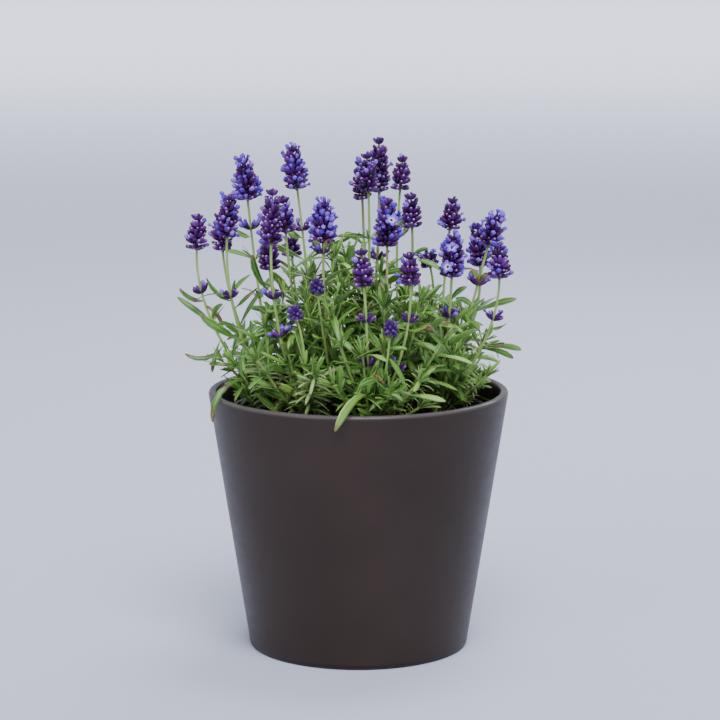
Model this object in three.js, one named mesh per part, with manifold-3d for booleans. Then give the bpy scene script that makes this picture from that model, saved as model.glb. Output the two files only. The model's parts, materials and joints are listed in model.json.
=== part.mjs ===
// Potted lavender: a tapered glazed pot, the plastic growing pot that stands in it, the soil,
// and twelve plants. Each plant is one green body of woody foot, flower stems, leafy shoots and
// leaves. Each flower spike, and each ring of flowers lower on a stem, is a body of its own.
// Millimetres, +Z up. The origin is the middle of the pot's underside, and -Y is the front.

import * as THREE from "three";
import { mergeVertices } from "three/addons/utils/BufferGeometryUtils.js";
import Module from "manifold-3d";

const wasm = await Module();
wasm.setup();

// Pots and soil
const POT = { height: 130, topRadius: 75, footRadius: 55, wall: 3.9, floor: 5, rimRound: 1.6, sides: 48 };
const GROWING_POT = {
  height: 115, topRadius: 64, footRadius: 46, wall: 1.4, lip: 1.6, lipDrop: 4, sides: 24,
};
const DRAIN = { count: 5, radius: 4, ring: 28, sides: 6 };
const CLEARANCE = 0.3;
const GROWING_POT_BASE = POT.floor + CLEARANCE;
const SOIL = { top: 114, bottom: GROWING_POT_BASE + GROWING_POT.wall + CLEARANCE, crown: 1.2 };

// Plants
const FOOT = { radius: 2.8, sides: 6, depth: 11, rise: 5, holeRadius: 3.5, holeSides: 8, holeDepth: 11.3 };
const STEM = { radius: 1.0, footRadius: 1.25, steps: 5 };
const FLOWER_CURVE = { lowOut: 0.42, lowUp: 0.3, highDown: 0.4 };
const SHOOT = {
  count: 25, reach: 71, midHeight: 76, fall: 44, radius: 0.85, steps: 3, bare: 0.3,
};
const SHOOT_CURVE = { lowOut: 0.3, lowUp: 0.35, highIn: 0.28, highDown: 0.32 };
const BLADE = { keel: 0.75, rootDepth: 0.4 };
const STEM_LEAF = {
  length: [17, 27], width: [3.1, 4.3], spread: [38, 62], droop: [5, 55], stations: [0.22, 0.64], step: 20,
};
const SHOOT_LEAF = {
  length: [15, 22], width: [2.6, 3.4], spread: [30, 70], droop: [15, 60], stations: [0.36], step: 9.2,
};
const BRACT = {
  length: [10, 16], width: [2.4, 3.2], spread: [55, 68], droop: [-30, 10], stations: [0.3, 0.7], drop: 2.4,
};
const PALE_LEAF = {
  length: [9, 13], width: [1.7, 2.2], spread: [52, 74], droop: [40, 80], stations: [0.4], step: 5,
};
const SPIKE = { whorlStep: 3.2, hollow: 0.5, raise: 0.6, seatRadius: 1.2 };
const WHORL = { buds: 5, holeRadius: 1.75, reach: 4.6, height: 2.2, tipRise: 3.4 };
const GAP = 0.45;
const OWN_GAP = -0.3;
const GOLDEN_ANGLE = 2.39996;

// Each plant: where its foot stands on the soil, and its flower stems. A flower stem ends at the
// spike's base, leans to the right by `lean` for each unit of height there, and carries rings of
// flowers at the distances in `rings` below the spike.
const PLANTS = [
  { foot: [-42, -13], flowers: [
    { base: [-79.5, -12, 202], lean: 0.04, length: 18, width: 10, rings: [22] },
    { base: [-64, -22, 209], lean: 0.06, length: 22, width: 10.4, rings: [30] },
  ] },
  { foot: [-40, 15], flowers: [
    { base: [-68, 12, 198], lean: -0.09, length: 20, width: 10, rings: [] },
    { base: [-56, 28, 222], lean: -0.1, length: 22, width: 13, rings: [15] },
  ] },
  { foot: [-26, -33], flowers: [
    { base: [-42, -38, 208], lean: 0.03, length: 27, width: 10.4, rings: [27, 46] },
    { base: [-29, -56, 173], lean: -0.3, length: 8, width: 7.2, rings: [] },
  ] },
  { foot: [-20, -6], flowers: [
    { base: [-36, -2, 209], lean: -0.08, length: 18.5, width: 10, rings: [] },
    { base: [-43.5, -14, 192], lean: -0.05, length: 17, width: 10.4, rings: [] },
  ] },
  { foot: [-18, 28], flowers: [
    { base: [-34, 44, 191], lean: -0.04, length: 11, width: 10, rings: [] },
    { base: [-31, 31, 227], lean: -0.13, length: 22.5, width: 12.4, rings: [21] },
  ] },
  { foot: [-8, -19], flowers: [
    { base: [-17, -28, 207], lean: 0.02, length: 21, width: 13, rings: [5] },
    { base: [-19.5, -44, 184], lean: -0.12, length: 8, width: 7, rings: [] },
  ] },
  { foot: [2, 15], flowers: [
    { base: [2, 50, 220], lean: -0.05, length: 20.5, width: 10, rings: [] },
    { base: [10.5, 27, 226], lean: 0, length: 28, width: 10.4, rings: [34] },
    { base: [5, 7, 228], lean: -0.04, length: 20.5, width: 10, rings: [] },
  ] },
  { foot: [14, -20], flowers: [
    { base: [14, -24, 205], lean: 0, length: 24, width: 12.6, rings: [] },
  ] },
  { foot: [6, -42], flowers: [
    { base: [2.7, -52, 189], lean: -0.08, length: 19, width: 10, rings: [17, 39] },
    { base: [25, -46, 189], lean: -0.04, length: 16.5, width: 10, rings: [18, 43] },
    { base: [15, -60, 166], lean: 0.08, length: 8.5, width: 7, rings: [] },
  ] },
  { foot: [21, 36], flowers: [
    { base: [21.5, 58, 224], lean: 0.08, length: 18, width: 9.6, rings: [] },
    { base: [27, 18, 209], lean: -0.04, length: 18, width: 10.2, rings: [29] },
    { base: [37, 48, 185], lean: -0.25, length: 8.5, width: 9.4, rings: [] },
  ] },
  { foot: [38, 17], flowers: [
    { base: [46.5, 36, 206], lean: 0.11, length: 17, width: 10.4, rings: [] },
    { base: [62.5, 42, 186], lean: -0.07, length: 23, width: 10.4, rings: [] },
  ] },
  { foot: [38, -12], flowers: [
    { base: [45.5, -26, 190], lean: 0.04, length: 22, width: 13, rings: [20] },
    { base: [69.5, -12, 187.5], lean: 0, length: 17.5, width: 11, rings: [21] },
    { base: [65, 14, 200], lean: 0.27, length: 17, width: 12, rings: [20] },
  ] },
];

// Leafy shoots at the front, each with a place of its own: the plant, and where its tip stands.
// A pale young shoot has many narrow leaves that bend down.
const FRONT_SHOOTS = [
  { plant: 0, tip: [-59.5, -27, 146], leaf: SHOOT_LEAF },
  { plant: 2, tip: [-20.5, -60, 148], leaf: PALE_LEAF },
  { plant: 8, tip: [4, -60, 138], leaf: SHOOT_LEAF },
];

// Leaves that stand out in the photo. Each has its plant, its flower stem or front shoot, how far
// down that it grows, and where its tip stands. It arches over by `bow` degrees, or curls up where
// that is below 0. The first two hang over the pot's rim.
const SHOWN_LEAVES = [
  { plant: 8, shoot: 0, down: 0, tip: [-11, -85, 125], width: 4.8, bow: 75 },
  { plant: 0, shoot: 0, down: 9, tip: [-71, -38, 120], width: 3.2, bow: 110 },
  { plant: 0, flower: 0, down: 26, tip: [-88, -14, 183], width: 3.2, bow: -55 },
  { plant: 0, flower: 0, down: 28, tip: [-67, -15, 163], width: 2.2, bow: 60 },
  { plant: 0, flower: 0, down: 50, tip: [-86, -12, 150], width: 2.6, bow: -100 },
  { plant: 0, flower: 0, down: 47, tip: [-72, -22, 142], width: 2.2, bow: 20 },
  { plant: 0, flower: 1, down: 36, tip: [-49, -27, 185], width: 3.2, bow: 5 },
  { plant: 0, flower: 1, down: 53, tip: [-77, -26, 171], width: 4.2, bow: -10 },
  { plant: 0, shoot: 0, down: 14, tip: [-39, -36, 125], width: 3.8, bow: -25 },
  { plant: 1, flower: 0, down: 26, tip: [-76, 8, 185], width: 3.4, bow: -45 },
  { plant: 1, flower: 1, down: 19, tip: [-62, 26, 207], width: 3, bow: -45 },
  { plant: 2, flower: 0, down: 66, tip: [-47, -41, 152], width: 3.8, bow: 5 },
  { plant: 3, flower: 1, down: 12, tip: [-52, -18, 200], width: 3.8, bow: -50 },
  { plant: 4, flower: 1, down: 25, tip: [-36, 34, 206], width: 3.8, bow: -45 },
  { plant: 6, flower: 1, down: 25, tip: [-11, 22, 204], width: 2.4, bow: 35 },
  { plant: 6, flower: 1, down: 25, tip: [26, 29, 208], width: 2.6, bow: -45 },
  { plant: 8, flower: 1, down: 22, tip: [14, -50, 174], width: 3.2, bow: -15 },
  { plant: 8, flower: 1, down: 22, tip: [35, -50, 172], width: 3.2, bow: -55 },
  { plant: 8, flower: 1, down: 47, tip: [8, -51, 145], width: 3.4, bow: 20 },
  { plant: 8, flower: 0, down: 42, tip: [-3, -58, 133], width: 3.8, bow: 25 },
  { plant: 8, flower: 0, down: 42, tip: [7, -59, 136], width: 3.8, bow: 50 },
  { plant: 9, flower: 1, down: 14, tip: [35, 14, 199], width: 2.2, bow: 50 },
  { plant: 11, flower: 0, down: 12, tip: [53, -22, 185], width: 3.6, bow: 45 },
  { plant: 11, flower: 0, down: 57, tip: [41, -31, 149], width: 4.8, bow: -60 },
  { plant: 11, flower: 1, down: 25, tip: [73, -17, 166], width: 3.2, bow: -60 },
  { plant: 11, flower: 1, down: 34, tip: [72, -17, 156], width: 3.6, bow: -45 },
  { plant: 11, flower: 1, down: 37, tip: [77, -10, 147], width: 2.8, bow: 45 },
  { plant: 11, flower: 2, down: 39, tip: [49, -6, 175], width: 3.4, bow: -15 },
];
const SHOWN_LEAF = { stations: [0.3, 0.7], ringReach: 5, faceTurn: 0.6 };
const FRONT = new THREE.Vector3(0, -1, 0);

const COLOURS = {
  pot: { color: 0x3b3536, roughness: 0.38, metalness: 0 },
  growingPot: { color: 0x141414, roughness: 0.6, metalness: 0 },
  soil: { color: 0x2a1f17, roughness: 1, metalness: 0 },
  plant: { color: 0x5f8a45, roughness: 0.7, metalness: 0 },
  spike: { color: 0x3a2360, roughness: 0.75, metalness: 0 },
};

const vector = (x, y, z) => new THREE.Vector3(x, y, z);
const radians = THREE.MathUtils.degToRad;
const mix = (range, share) => range[0] + (range[1] - range[0]) * share;

// The same draws every time, from a small fixed generator.
let drawState = 4021;
function draw(low, high) {
  drawState = (drawState * 48271) % 2147483647;
  return low + ((high - low) * drawState) / 2147483647;
}

// Solids

function solidOf(geometry) {
  const bare = geometry.clone();
  bare.deleteAttribute("normal");
  bare.deleteAttribute("uv");
  const merged = mergeVertices(bare, 1e-4);
  return new wasm.Manifold(new wasm.Mesh({
    numProp: 3,
    vertProperties: merged.getAttribute("position").array,
    triVerts: new Uint32Array(merged.index.array),
  }));
}

function geometryOf(solid) {
  const mesh = solid.getMesh();
  const points = new Float32Array(mesh.numVert * 3);
  for (let i = 0; i < mesh.numVert; i++) {
    points.set(mesh.vertProperties.subarray(i * mesh.numProp, i * mesh.numProp + 3), i * 3);
  }
  const geometry = new THREE.BufferGeometry();
  geometry.setAttribute("position", new THREE.BufferAttribute(points, 3));
  geometry.setIndex(new THREE.BufferAttribute(new Uint32Array(mesh.triVerts), 1));
  geometry.computeVertexNormals();
  return geometry;
}

// The largest body of a join, which drops loose scraps and fills sealed hollows.
function mainBody(solid) {
  return solid.decompose().reduce((best, body) => (body.volume() > best.volume() ? body : best));
}

// A closed solid through rings of equal point counts. `splits(ring, side)` says which way a
// four-sided patch is cut into triangles. A pointed end is a ring whose points coincide.
function loft(rings, splits = () => true) {
  const sides = rings[0].length;
  const points = rings.flat();
  const faces = [];
  const at = (ring, side) => ring * sides + (side % sides);
  const add = (a, b, c) => {
    if (points[a].distanceTo(points[b]) > 1e-6 && points[b].distanceTo(points[c]) > 1e-6
      && points[c].distanceTo(points[a]) > 1e-6) faces.push(a, b, c);
  };
  for (let ring = 0; ring < rings.length - 1; ring++) {
    for (let side = 0; side < sides; side++) {
      const [a, b] = [at(ring, side), at(ring, side + 1)];
      const [d, c] = [at(ring + 1, side), at(ring + 1, side + 1)];
      if (splits(ring, side)) {
        add(a, b, c);
        add(a, c, d);
      } else {
        add(a, b, d);
        add(b, c, d);
      }
    }
  }
  for (let side = 1; side < sides - 1; side++) {
    add(at(0, 0), at(0, side + 1), at(0, side));
    add(at(rings.length - 1, 0), at(rings.length - 1, side), at(rings.length - 1, side + 1));
  }
  const geometry = new THREE.BufferGeometry().setFromPoints(points);
  geometry.setIndex(faces);
  return geometry;
}

function ringOf(centre, across, along, radiusAt, sides, liftAt = () => vector(0, 0, 0)) {
  return Array.from({ length: sides }, (_, side) => {
    const angle = (2 * Math.PI * side) / sides;
    return centre.clone()
      .addScaledVector(across, radiusAt(side) * Math.cos(angle))
      .addScaledVector(along, radiusAt(side) * Math.sin(angle))
      .add(liftAt(side));
  });
}

// Two directions square to an axis, turned round it by `spin`.
function squareTo(axis, spin) {
  const across = vector(0, 1, 0).cross(axis).normalize().applyAxisAngle(axis, spin);
  return { across, along: axis.clone().cross(across) };
}

// A profile of [radius, height] points turned round the vertical axis.
function turned(profile, sides) {
  const lathe = new THREE.LatheGeometry(profile.map(([r, z]) => new THREE.Vector2(r, z)), sides);
  return lathe.rotateX(Math.PI / 2);
}

function roundBar(x, y, bottom, height, radius, sides) {
  const bar = new THREE.CylinderGeometry(radius, radius, height, sides);
  return bar.rotateX(Math.PI / 2).translate(x, y, bottom + height / 2);
}

// Pots and soil

const potOuterRadius = (z) =>
  POT.footRadius + ((POT.topRadius - POT.footRadius) * z) / (POT.height - POT.rimRound);
const potInnerRadius = (z) => potOuterRadius(z) - POT.wall;
const growingPotRadius = (z) => GROWING_POT.footRadius
  + ((GROWING_POT.topRadius - GROWING_POT.footRadius) * (z - GROWING_POT_BASE)) / GROWING_POT.height;
const growingPotInside = (z) => growingPotRadius(z) - GROWING_POT.wall;
const growingPotTop = GROWING_POT_BASE + GROWING_POT.height;
const growingPotLipRadius = growingPotRadius(growingPotTop) + GROWING_POT.lip;

function potSolid() {
  const { height, topRadius, footRadius, wall, floor, rimRound } = POT;
  const innerTop = topRadius - wall;
  return solidOf(turned([
    [0, 0],
    [footRadius - 1.6, 0],
    [footRadius + 0.2, 1.6],
    [topRadius, height - rimRound],
    [topRadius - 0.7, height - 0.7],
    [topRadius - rimRound, height],
    [innerTop + 0.6, height - 0.5],
    [innerTop - 0.3, height - rimRound],
    [potInnerRadius(floor + 4), floor + 4],
    [potInnerRadius(floor) - 4, floor],
    [0, floor],
  ], POT.sides));
}

function growingPotSolid() {
  const { wall, lipDrop } = GROWING_POT;
  const floor = GROWING_POT_BASE + wall;
  const cup = solidOf(turned([
    [0, GROWING_POT_BASE],
    [growingPotRadius(GROWING_POT_BASE), GROWING_POT_BASE],
    [growingPotRadius(growingPotTop - lipDrop), growingPotTop - lipDrop],
    [growingPotLipRadius, growingPotTop - lipDrop],
    [growingPotLipRadius, growingPotTop],
    [growingPotInside(growingPotTop), growingPotTop],
    [growingPotInside(floor), floor],
    [0, floor],
  ], GROWING_POT.sides));
  const holes = Array.from({ length: DRAIN.count }, (_, i) => {
    const angle = (2 * Math.PI * i) / DRAIN.count;
    return solidOf(roundBar(DRAIN.ring * Math.cos(angle), DRAIN.ring * Math.sin(angle),
      GROWING_POT_BASE - 1, wall + 2, DRAIN.radius, DRAIN.sides));
  });
  return wasm.Manifold.difference([cup, ...holes]);
}

function soilSolid() {
  const { top, bottom, crown } = SOIL;
  const side = (z) => growingPotInside(z) - CLEARANCE;
  const body = solidOf(turned([
    [0, bottom],
    [side(bottom), bottom],
    [side(top - 2), top - 2],
    [side(top) - 6, top],
    [side(top) / 2, top + crown / 2],
    [0, top + crown],
  ], GROWING_POT.sides));
  const holes = PLANTS.map(({ foot: [x, y] }) => solidOf(roundBar(x, y, SOIL.top - FOOT.holeDepth,
    FOOT.holeDepth + 5, FOOT.holeRadius, FOOT.holeSides)));
  return wasm.Manifold.difference([body, ...holes]);
}

// Where things are: every placed piece leaves beads, and a new one has to stay clear of them.

const beads = [];

function clearOfPots(at, radius) {
  const reach = Math.hypot(at.x, at.y);
  const space = radius + GAP;
  const overSoil = at.z > SOIL.top + SOIL.crown + space;
  const outsideLip = reach > growingPotLipRadius + space;
  const overLip = at.z > growingPotTop + space;
  const insideLip = reach < growingPotInside(at.z) - space;
  const clearOfWall = at.z > POT.height + space || reach < potInnerRadius(at.z) - space
    || reach > potOuterRadius(at.z) + space;
  return clearOfWall && (outsideLip || (overSoil && (overLip || insideLip)));
}

function isFree(trail, owner, skipOwn = 0) {
  return trail.every((bead, i) => clearOfPots(bead.at, bead.radius) && beads.every((other) => {
    const own = other.owner === owner;
    if (own && i < skipOwn) return true;
    return bead.at.distanceTo(other.at) > bead.radius + other.radius + (own ? OWN_GAP : GAP);
  }));
}

function keep(trail, owner) {
  trail.forEach(({ at, radius }) => beads.push({ at, radius, owner }));
}

// Stems and shoots

// A stem is square in section, and its section is turned by its own angle.
function squareStem(start, low, high, end) {
  const path = new THREE.CubicBezierCurve3(start, low, high, end);
  path.spin = draw(0, Math.PI / 2);
  return path;
}

function flowerPath(foot, { base, lean }) {
  const end = vector(...base);
  const start = vector(foot[0], foot[1], SOIL.top + 1);
  const out = end.clone().sub(start);
  const axis = vector(lean, 0, 1).normalize();
  const { lowOut, lowUp, highDown } = FLOWER_CURVE;
  const low = start.clone().add(vector(out.x * lowOut, out.y * lowOut, out.z * lowUp));
  const high = end.clone().addScaledVector(axis, -out.z * highDown);
  return squareStem(start, low, high, end);
}

function shootPath(foot, tip) {
  const start = vector(foot[0], foot[1], SOIL.top + 1);
  const out = tip.clone().sub(start);
  const { lowOut, lowUp, highIn, highDown } = SHOOT_CURVE;
  const low = start.clone().add(vector(out.x * lowOut, out.y * lowOut, out.z * lowUp));
  const high = tip.clone().sub(vector(out.x * highIn, out.y * highIn, out.z * highDown));
  return squareStem(start, low, high, tip);
}

function stemTrail(path, stemRadius) {
  const count = Math.ceil(path.getLength() / 2.4);
  const radius = stemRadius + 0.5;
  return Array.from({ length: count + 1 }, (_, i) => ({ at: path.getPoint(i / count), radius }));
}

function stemSolid(path, steps, footRadius, tipRadius) {
  const rings = Array.from({ length: steps + 1 }, (_, i) => {
    const share = i / steps;
    const { across, along } = squareTo(path.getTangent(share), path.spin);
    return ringOf(path.getPoint(share), across, along, () => mix([footRadius, tipRadius], share), 4);
  });
  return solidOf(loft(rings));
}

// The point and directions at a distance below a path's end.
function placeBelow(path, distance) {
  const share = Math.max(0, 1 - distance / path.getLength());
  const axis = path.getTangentAt(share);
  return { at: path.getPointAt(share), axis, ...squareTo(axis, path.spin) };
}

// Leaves

// A blade grows from `at`, at `spread` from the stem's axis, and bends down by `droop` on its way.
// It is widest at its stations, which are shares of its length, and pointed at both ends.
function bladeOf(place, azimuth, { length, width, spread, droop, stations }) {
  const outward = place.across.clone().multiplyScalar(Math.cos(azimuth))
    .addScaledVector(place.along, Math.sin(azimuth));
  const tilt = radians(spread);
  const ahead = place.axis.clone().multiplyScalar(Math.cos(tilt)).addScaledVector(outward, Math.sin(tilt));
  const face = place.axis.clone().multiplyScalar(Math.sin(tilt)).addScaledVector(outward, -Math.cos(tilt));
  const bend = Math.abs(droop) < 1 ? radians(1) : radians(droop);
  const side = ahead.clone().cross(face);
  return { at: place.at, ahead, face, side, length, width, bend, roll: 0, stations };
}

// A blade whose tip stands at a given place. It turns its upper side part of the way to the front.
function bladeTo(place, tip, { width, bow, stations, faceTurn }) {
  const chord = tip.clone().sub(place.at);
  const toTip = chord.clone().normalize();
  const upward = place.axis.clone().projectOnPlane(toTip).normalize();
  const bend = radians(bow);
  const ahead = toTip.clone().multiplyScalar(Math.cos(bend / 2)).addScaledVector(upward, Math.sin(bend / 2));
  const face = upward.clone().multiplyScalar(Math.cos(bend / 2)).addScaledVector(toTip, -Math.sin(bend / 2));
  const side = ahead.clone().cross(face);
  const length = (chord.length() * bend) / 2 / Math.sin(bend / 2);
  const roll = faceTurn * Math.atan2(FRONT.dot(side), FRONT.dot(face));
  return { at: place.at, ahead, face, side, length, width, bend, roll, stations };
}

function bladePoint(blade, share) {
  const turn = blade.bend * share;
  const radius = blade.length / blade.bend;
  return blade.at.clone().addScaledVector(blade.ahead, radius * Math.sin(turn))
    .addScaledVector(blade.face, -radius * (1 - Math.cos(turn)));
}

// The directions that a blade's right edge and its upper side face there.
function bladeSection(blade, share) {
  const turn = blade.bend * share;
  const lifted = blade.face.clone().multiplyScalar(Math.cos(turn))
    .addScaledVector(blade.ahead, Math.sin(turn));
  const [level, tilted] = [Math.cos(blade.roll), Math.sin(blade.roll)];
  return {
    right: blade.side.clone().multiplyScalar(level).addScaledVector(lifted, -tilted),
    above: lifted.clone().multiplyScalar(level).addScaledVector(blade.side, tilted),
  };
}

function bladeTrail(blade) {
  const count = Math.ceil(blade.length / 2);
  return Array.from({ length: count }, (_, i) => {
    const share = (i + 1) / count;
    return { at: bladePoint(blade, share), radius: (share < 0.9 ? 0.46 : 0.3) * blade.width };
  });
}

// A keeled blade: flat above, with a ridge below.
function bladeSolid(blade) {
  const rings = blade.stations.map((share) => {
    const centre = bladePoint(blade, share);
    const { right, above } = bladeSection(blade, share);
    return [
      centre.clone().addScaledVector(right, blade.width / 2),
      centre.clone().addScaledVector(above, -BLADE.keel),
      centre.clone().addScaledVector(right, -blade.width / 2),
    ];
  });
  const root = blade.at.clone().addScaledVector(blade.ahead, -BLADE.rootDepth);
  const tip = bladePoint(blade, 1);
  return solidOf(loft([[root, root, root], ...rings, [tip, tip, tip]]));
}

// Tries a leaf at its place, then turned a little more each time and at last shorter, until it is
// clear.
function fitBlade(place, azimuth, wanted, owner) {
  for (let attempt = 0; attempt < 14; attempt++) {
    const swing = (attempt % 2 ? 1 : -1) * Math.ceil(attempt / 2) * 0.16;
    const length = wanted.length * (attempt > 8 ? 0.75 : 1);
    const blade = bladeOf(place, azimuth + swing, { ...wanted, length });
    const trail = bladeTrail(blade);
    if (isFree(trail, owner, Math.ceil(trail.length * 0.35))) {
      keep(trail, owner);
      return blade;
    }
  }
  return null;
}

function wantedLeaf(kind) {
  return {
    length: draw(...kind.length),
    width: draw(...kind.width),
    spread: draw(...kind.spread),
    droop: draw(...kind.droop),
    stations: kind.stations,
  };
}

// A pair of facing leaves on two flat sides of the stem.
function leafPair(path, distance, turn, kind, owner) {
  const place = placeBelow(path, distance);
  return [0, Math.PI].map((facing) =>
    fitBlade(place, turn + facing + draw(-0.12, 0.12), wantedLeaf(kind), owner)).filter(Boolean);
}

// Spikes and rings of flowers

// Calyces stand out of the spike in staggered whorls. Each is a peak between four hollows.
function spikeSolid({ length, width }, place) {
  const whorls = Math.max(3, Math.round(length / SPIKE.whorlStep));
  const buds = width > 12 ? 6 : 5;
  const step = length / whorls;
  const sides = buds * 2;
  const radiusAt = (share) => (width / 2) * (share < 0.25 ? mix([0.78, 1], share / 0.25)
    : mix([1, 0.42], (share - 0.25) / 0.75));
  const base = place.at.clone().addScaledVector(place.axis, CLEARANCE);
  const rings = [ringOf(base, place.across, place.along, () => SPIKE.seatRadius, sides)];
  for (let whorl = 0; whorl < whorls; whorl++) {
    const centre = base.clone().addScaledVector(place.axis, step * (whorl + 0.45));
    const radius = radiusAt((whorl + 0.5) / whorls);
    const isPeak = (side) => (side + whorl) % 2 === 0;
    rings.push(ringOf(centre, place.across, place.along,
      (side) => (isPeak(side) ? radius : radius * SPIKE.hollow), sides,
      (side) => place.axis.clone().multiplyScalar(isPeak(side) ? step * SPIKE.raise : 0)));
  }
  const top = base.clone().addScaledVector(place.axis, length);
  rings.push(ringOf(top, place.across, place.along, () => 0, sides));
  const peakFirst = (ring, side) => (side + ring - 1) % 2 !== 0;
  return solidOf(loft(rings, (ring, side) => (ring === 0 ? true : peakFirst(ring, side))));
}

// A ring of calyces round a stem, open in the middle where the stem goes through.
function whorlSolid(place) {
  const sides = WHORL.buds * 2;
  const centre = (rise) => place.at.clone().addScaledVector(place.axis, rise);
  const ring = (rise, radius) => ringOf(centre(rise), place.across, place.along, () => radius, sides);
  const bottom = ring(0, WHORL.holeRadius);
  const tips = ringOf(centre(WHORL.height * 0.4), place.across, place.along,
    (side) => (side % 2 ? WHORL.holeRadius + 0.9 : WHORL.reach), sides,
    (side) => place.axis.clone().multiplyScalar(side % 2 ? 0 : WHORL.tipRise));
  const top = ring(WHORL.height, WHORL.holeRadius);
  const points = [...bottom, ...tips, ...top];
  const faces = [];
  for (let level = 0; level < 3; level++) {
    const above = (level + 1) % 3;
    for (let side = 0; side < sides; side++) {
      const next = (side + 1) % sides;
      const [a, b] = [level * sides + side, level * sides + next];
      const [d, c] = [above * sides + side, above * sides + next];
      faces.push(a, b, c, a, c, d);
    }
  }
  const geometry = new THREE.BufferGeometry().setFromPoints(points);
  geometry.setIndex(faces);
  return solidOf(geometry);
}

// Laying out the whole plant: stems first, then spikes and rings, then shoots, then leaves

const plants = PLANTS.map(({ foot, flowers }, index) => ({
  name: `plant_${String(index + 1).padStart(2, "0")}`,
  foot,
  flowers: flowers.map((flower) => ({ ...flower, path: flowerPath(foot, flower) })),
  shoots: [],
  blades: [],
}));

for (const plant of plants) {
  for (const flower of plant.flowers) {
    keep(stemTrail(flower.path, STEM.radius), plant.name);
    const seat = placeBelow(flower.path, 0);
    const steps = Math.ceil(flower.length / 2);
    for (let i = 0; i <= steps; i++) {
      const share = i / steps;
      const radius = (flower.width / 2) * (share < 0.7 ? 1 : 0.7);
      keep([{ at: seat.at.clone().addScaledVector(seat.axis, share * flower.length + 1), radius }], "spikes");
    }
    for (const distance of flower.rings) {
      const { at, axis } = placeBelow(flower.path, distance);
      keep([{ at: at.clone().addScaledVector(axis, 2.6), radius: 4 }], "rings");
    }
  }
}

for (const { plant: index, tip, leaf } of FRONT_SHOOTS) {
  const plant = plants[index];
  const path = shootPath(plant.foot, vector(...tip));
  path.leaf = leaf;
  keep(stemTrail(path, SHOOT.radius).slice(5), plant.name);
  plant.shoots.push(path);
}

// The other shoots spread evenly over a disc, each from the nearest plant's foot.
for (let i = 0; i < SHOOT.count; i++) {
  const share = (i + 0.5) / SHOOT.count;
  for (let attempt = 0; attempt < 12; attempt++) {
    const angle = i * GOLDEN_ANGLE + draw(-0.25, 0.25);
    const reach = SHOOT.reach * Math.sqrt(share) + draw(-4, 4);
    const height = SHOOT.midHeight - SHOOT.fall * share + draw(-5, 5);
    const tip = vector(reach * Math.cos(angle), reach * Math.sin(angle), SOIL.top + height);
    const plant = plants.reduce((best, other) => {
      const far = ({ foot }) => Math.hypot(foot[0] - tip.x * 0.66, foot[1] - tip.y * 0.66);
      return far(other) < far(best) ? other : best;
    });
    const path = shootPath(plant.foot, tip);
    const trail = stemTrail(path, SHOOT.radius).slice(5);
    if (isFree(trail, plant.name)) {
      keep(trail, plant.name);
      plant.shoots.push(path);
      break;
    }
  }
}

// The leaves that stand out come before all others, which then keep clear of them.
for (const { plant: index, flower, shoot, down, tip, width, bow } of SHOWN_LEAVES) {
  const plant = plants[index];
  const path = flower === undefined ? plant.shoots[shoot] : plant.flowers[flower].path;
  const blade = bladeTo(placeBelow(path, down), vector(...tip), { ...SHOWN_LEAF, width, bow });
  const trail = bladeTrail(blade);
  if (!isFree(trail, plant.name, Math.ceil(trail.length * 0.35))) {
    throw new Error(`No room on ${plant.name} for the leaf ${down} mm down, with its tip at ${tip}`);
  }
  keep(trail, plant.name);
  plant.blades.push(blade);
}

// A ring that has one of those leaves gets no others.
const hasLeafNear = (plant, { at }) =>
  plant.blades.some((blade) => blade.at.distanceTo(at) < SHOWN_LEAF.ringReach);

for (const plant of plants) {
  for (const { path, rings } of plant.flowers) {
    let turn = Math.PI / 4;
    for (const distance of rings) {
      if (!hasLeafNear(plant, placeBelow(path, distance + BRACT.drop))) {
        plant.blades.push(...leafPair(path, distance + BRACT.drop, turn, BRACT, plant.name));
      }
      turn += Math.PI / 2;
    }
    const first = (rings.length ? rings[rings.length - 1] : 8) + STEM_LEAF.step * 0.8;
    for (let down = first; down < path.getLength() - 12; down += STEM_LEAF.step) {
      plant.blades.push(...leafPair(path, down, turn, STEM_LEAF, plant.name));
      turn += Math.PI / 2;
    }
  }
  for (const path of plant.shoots) {
    const kind = path.leaf ?? SHOOT_LEAF;
    let turn = Math.PI / 4;
    for (let down = 1; down < path.getLength() * (1 - SHOOT.bare); down += kind.step) {
      plant.blades.push(...leafPair(path, down, turn, kind, plant.name));
      turn += Math.PI / 2;
    }
  }
}

// A plant as one body: its foot in the soil, its stems and shoots, and every leaf on them.
function plantSolid(plant) {
  const [x, y] = plant.foot;
  const { radius, sides, depth, rise } = FOOT;
  const foot = solidOf(roundBar(x, y, SOIL.top - depth, depth + rise, radius, sides));
  const stems = plant.flowers.map(({ path }) => stemSolid(path, STEM.steps, STEM.footRadius, STEM.radius));
  const shoots = plant.shoots.map((path) => stemSolid(path, SHOOT.steps, STEM.footRadius, SHOOT.radius));
  return mainBody(wasm.Manifold.union([foot, ...stems, ...shoots, ...plant.blades.map(bladeSolid)]));
}

// The object

const potted = new THREE.Group();

function addMesh(name, solid, look) {
  const mesh = new THREE.Mesh(geometryOf(solid), new THREE.MeshStandardMaterial(look));
  mesh.name = name;
  potted.add(mesh);
}

addMesh("pot", potSolid(), COLOURS.pot);
addMesh("growing_pot", growingPotSolid(), COLOURS.growingPot);
addMesh("soil", soilSolid(), COLOURS.soil);
for (const plant of plants) {
  addMesh(plant.name, plantSolid(plant), COLOURS.plant);
  plant.flowers.forEach((flower, i) => {
    const label = `${plant.name}_${"abc"[i]}`;
    addMesh(`${label}_spike`, spikeSolid(flower, placeBelow(flower.path, 0)), COLOURS.spike);
    flower.rings.forEach((distance, ring) => {
      addMesh(`${label}_ring_${ring + 1}`, whorlSolid(placeBelow(flower.path, distance)), COLOURS.spike);
    });
  });
}

export default potted;
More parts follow.
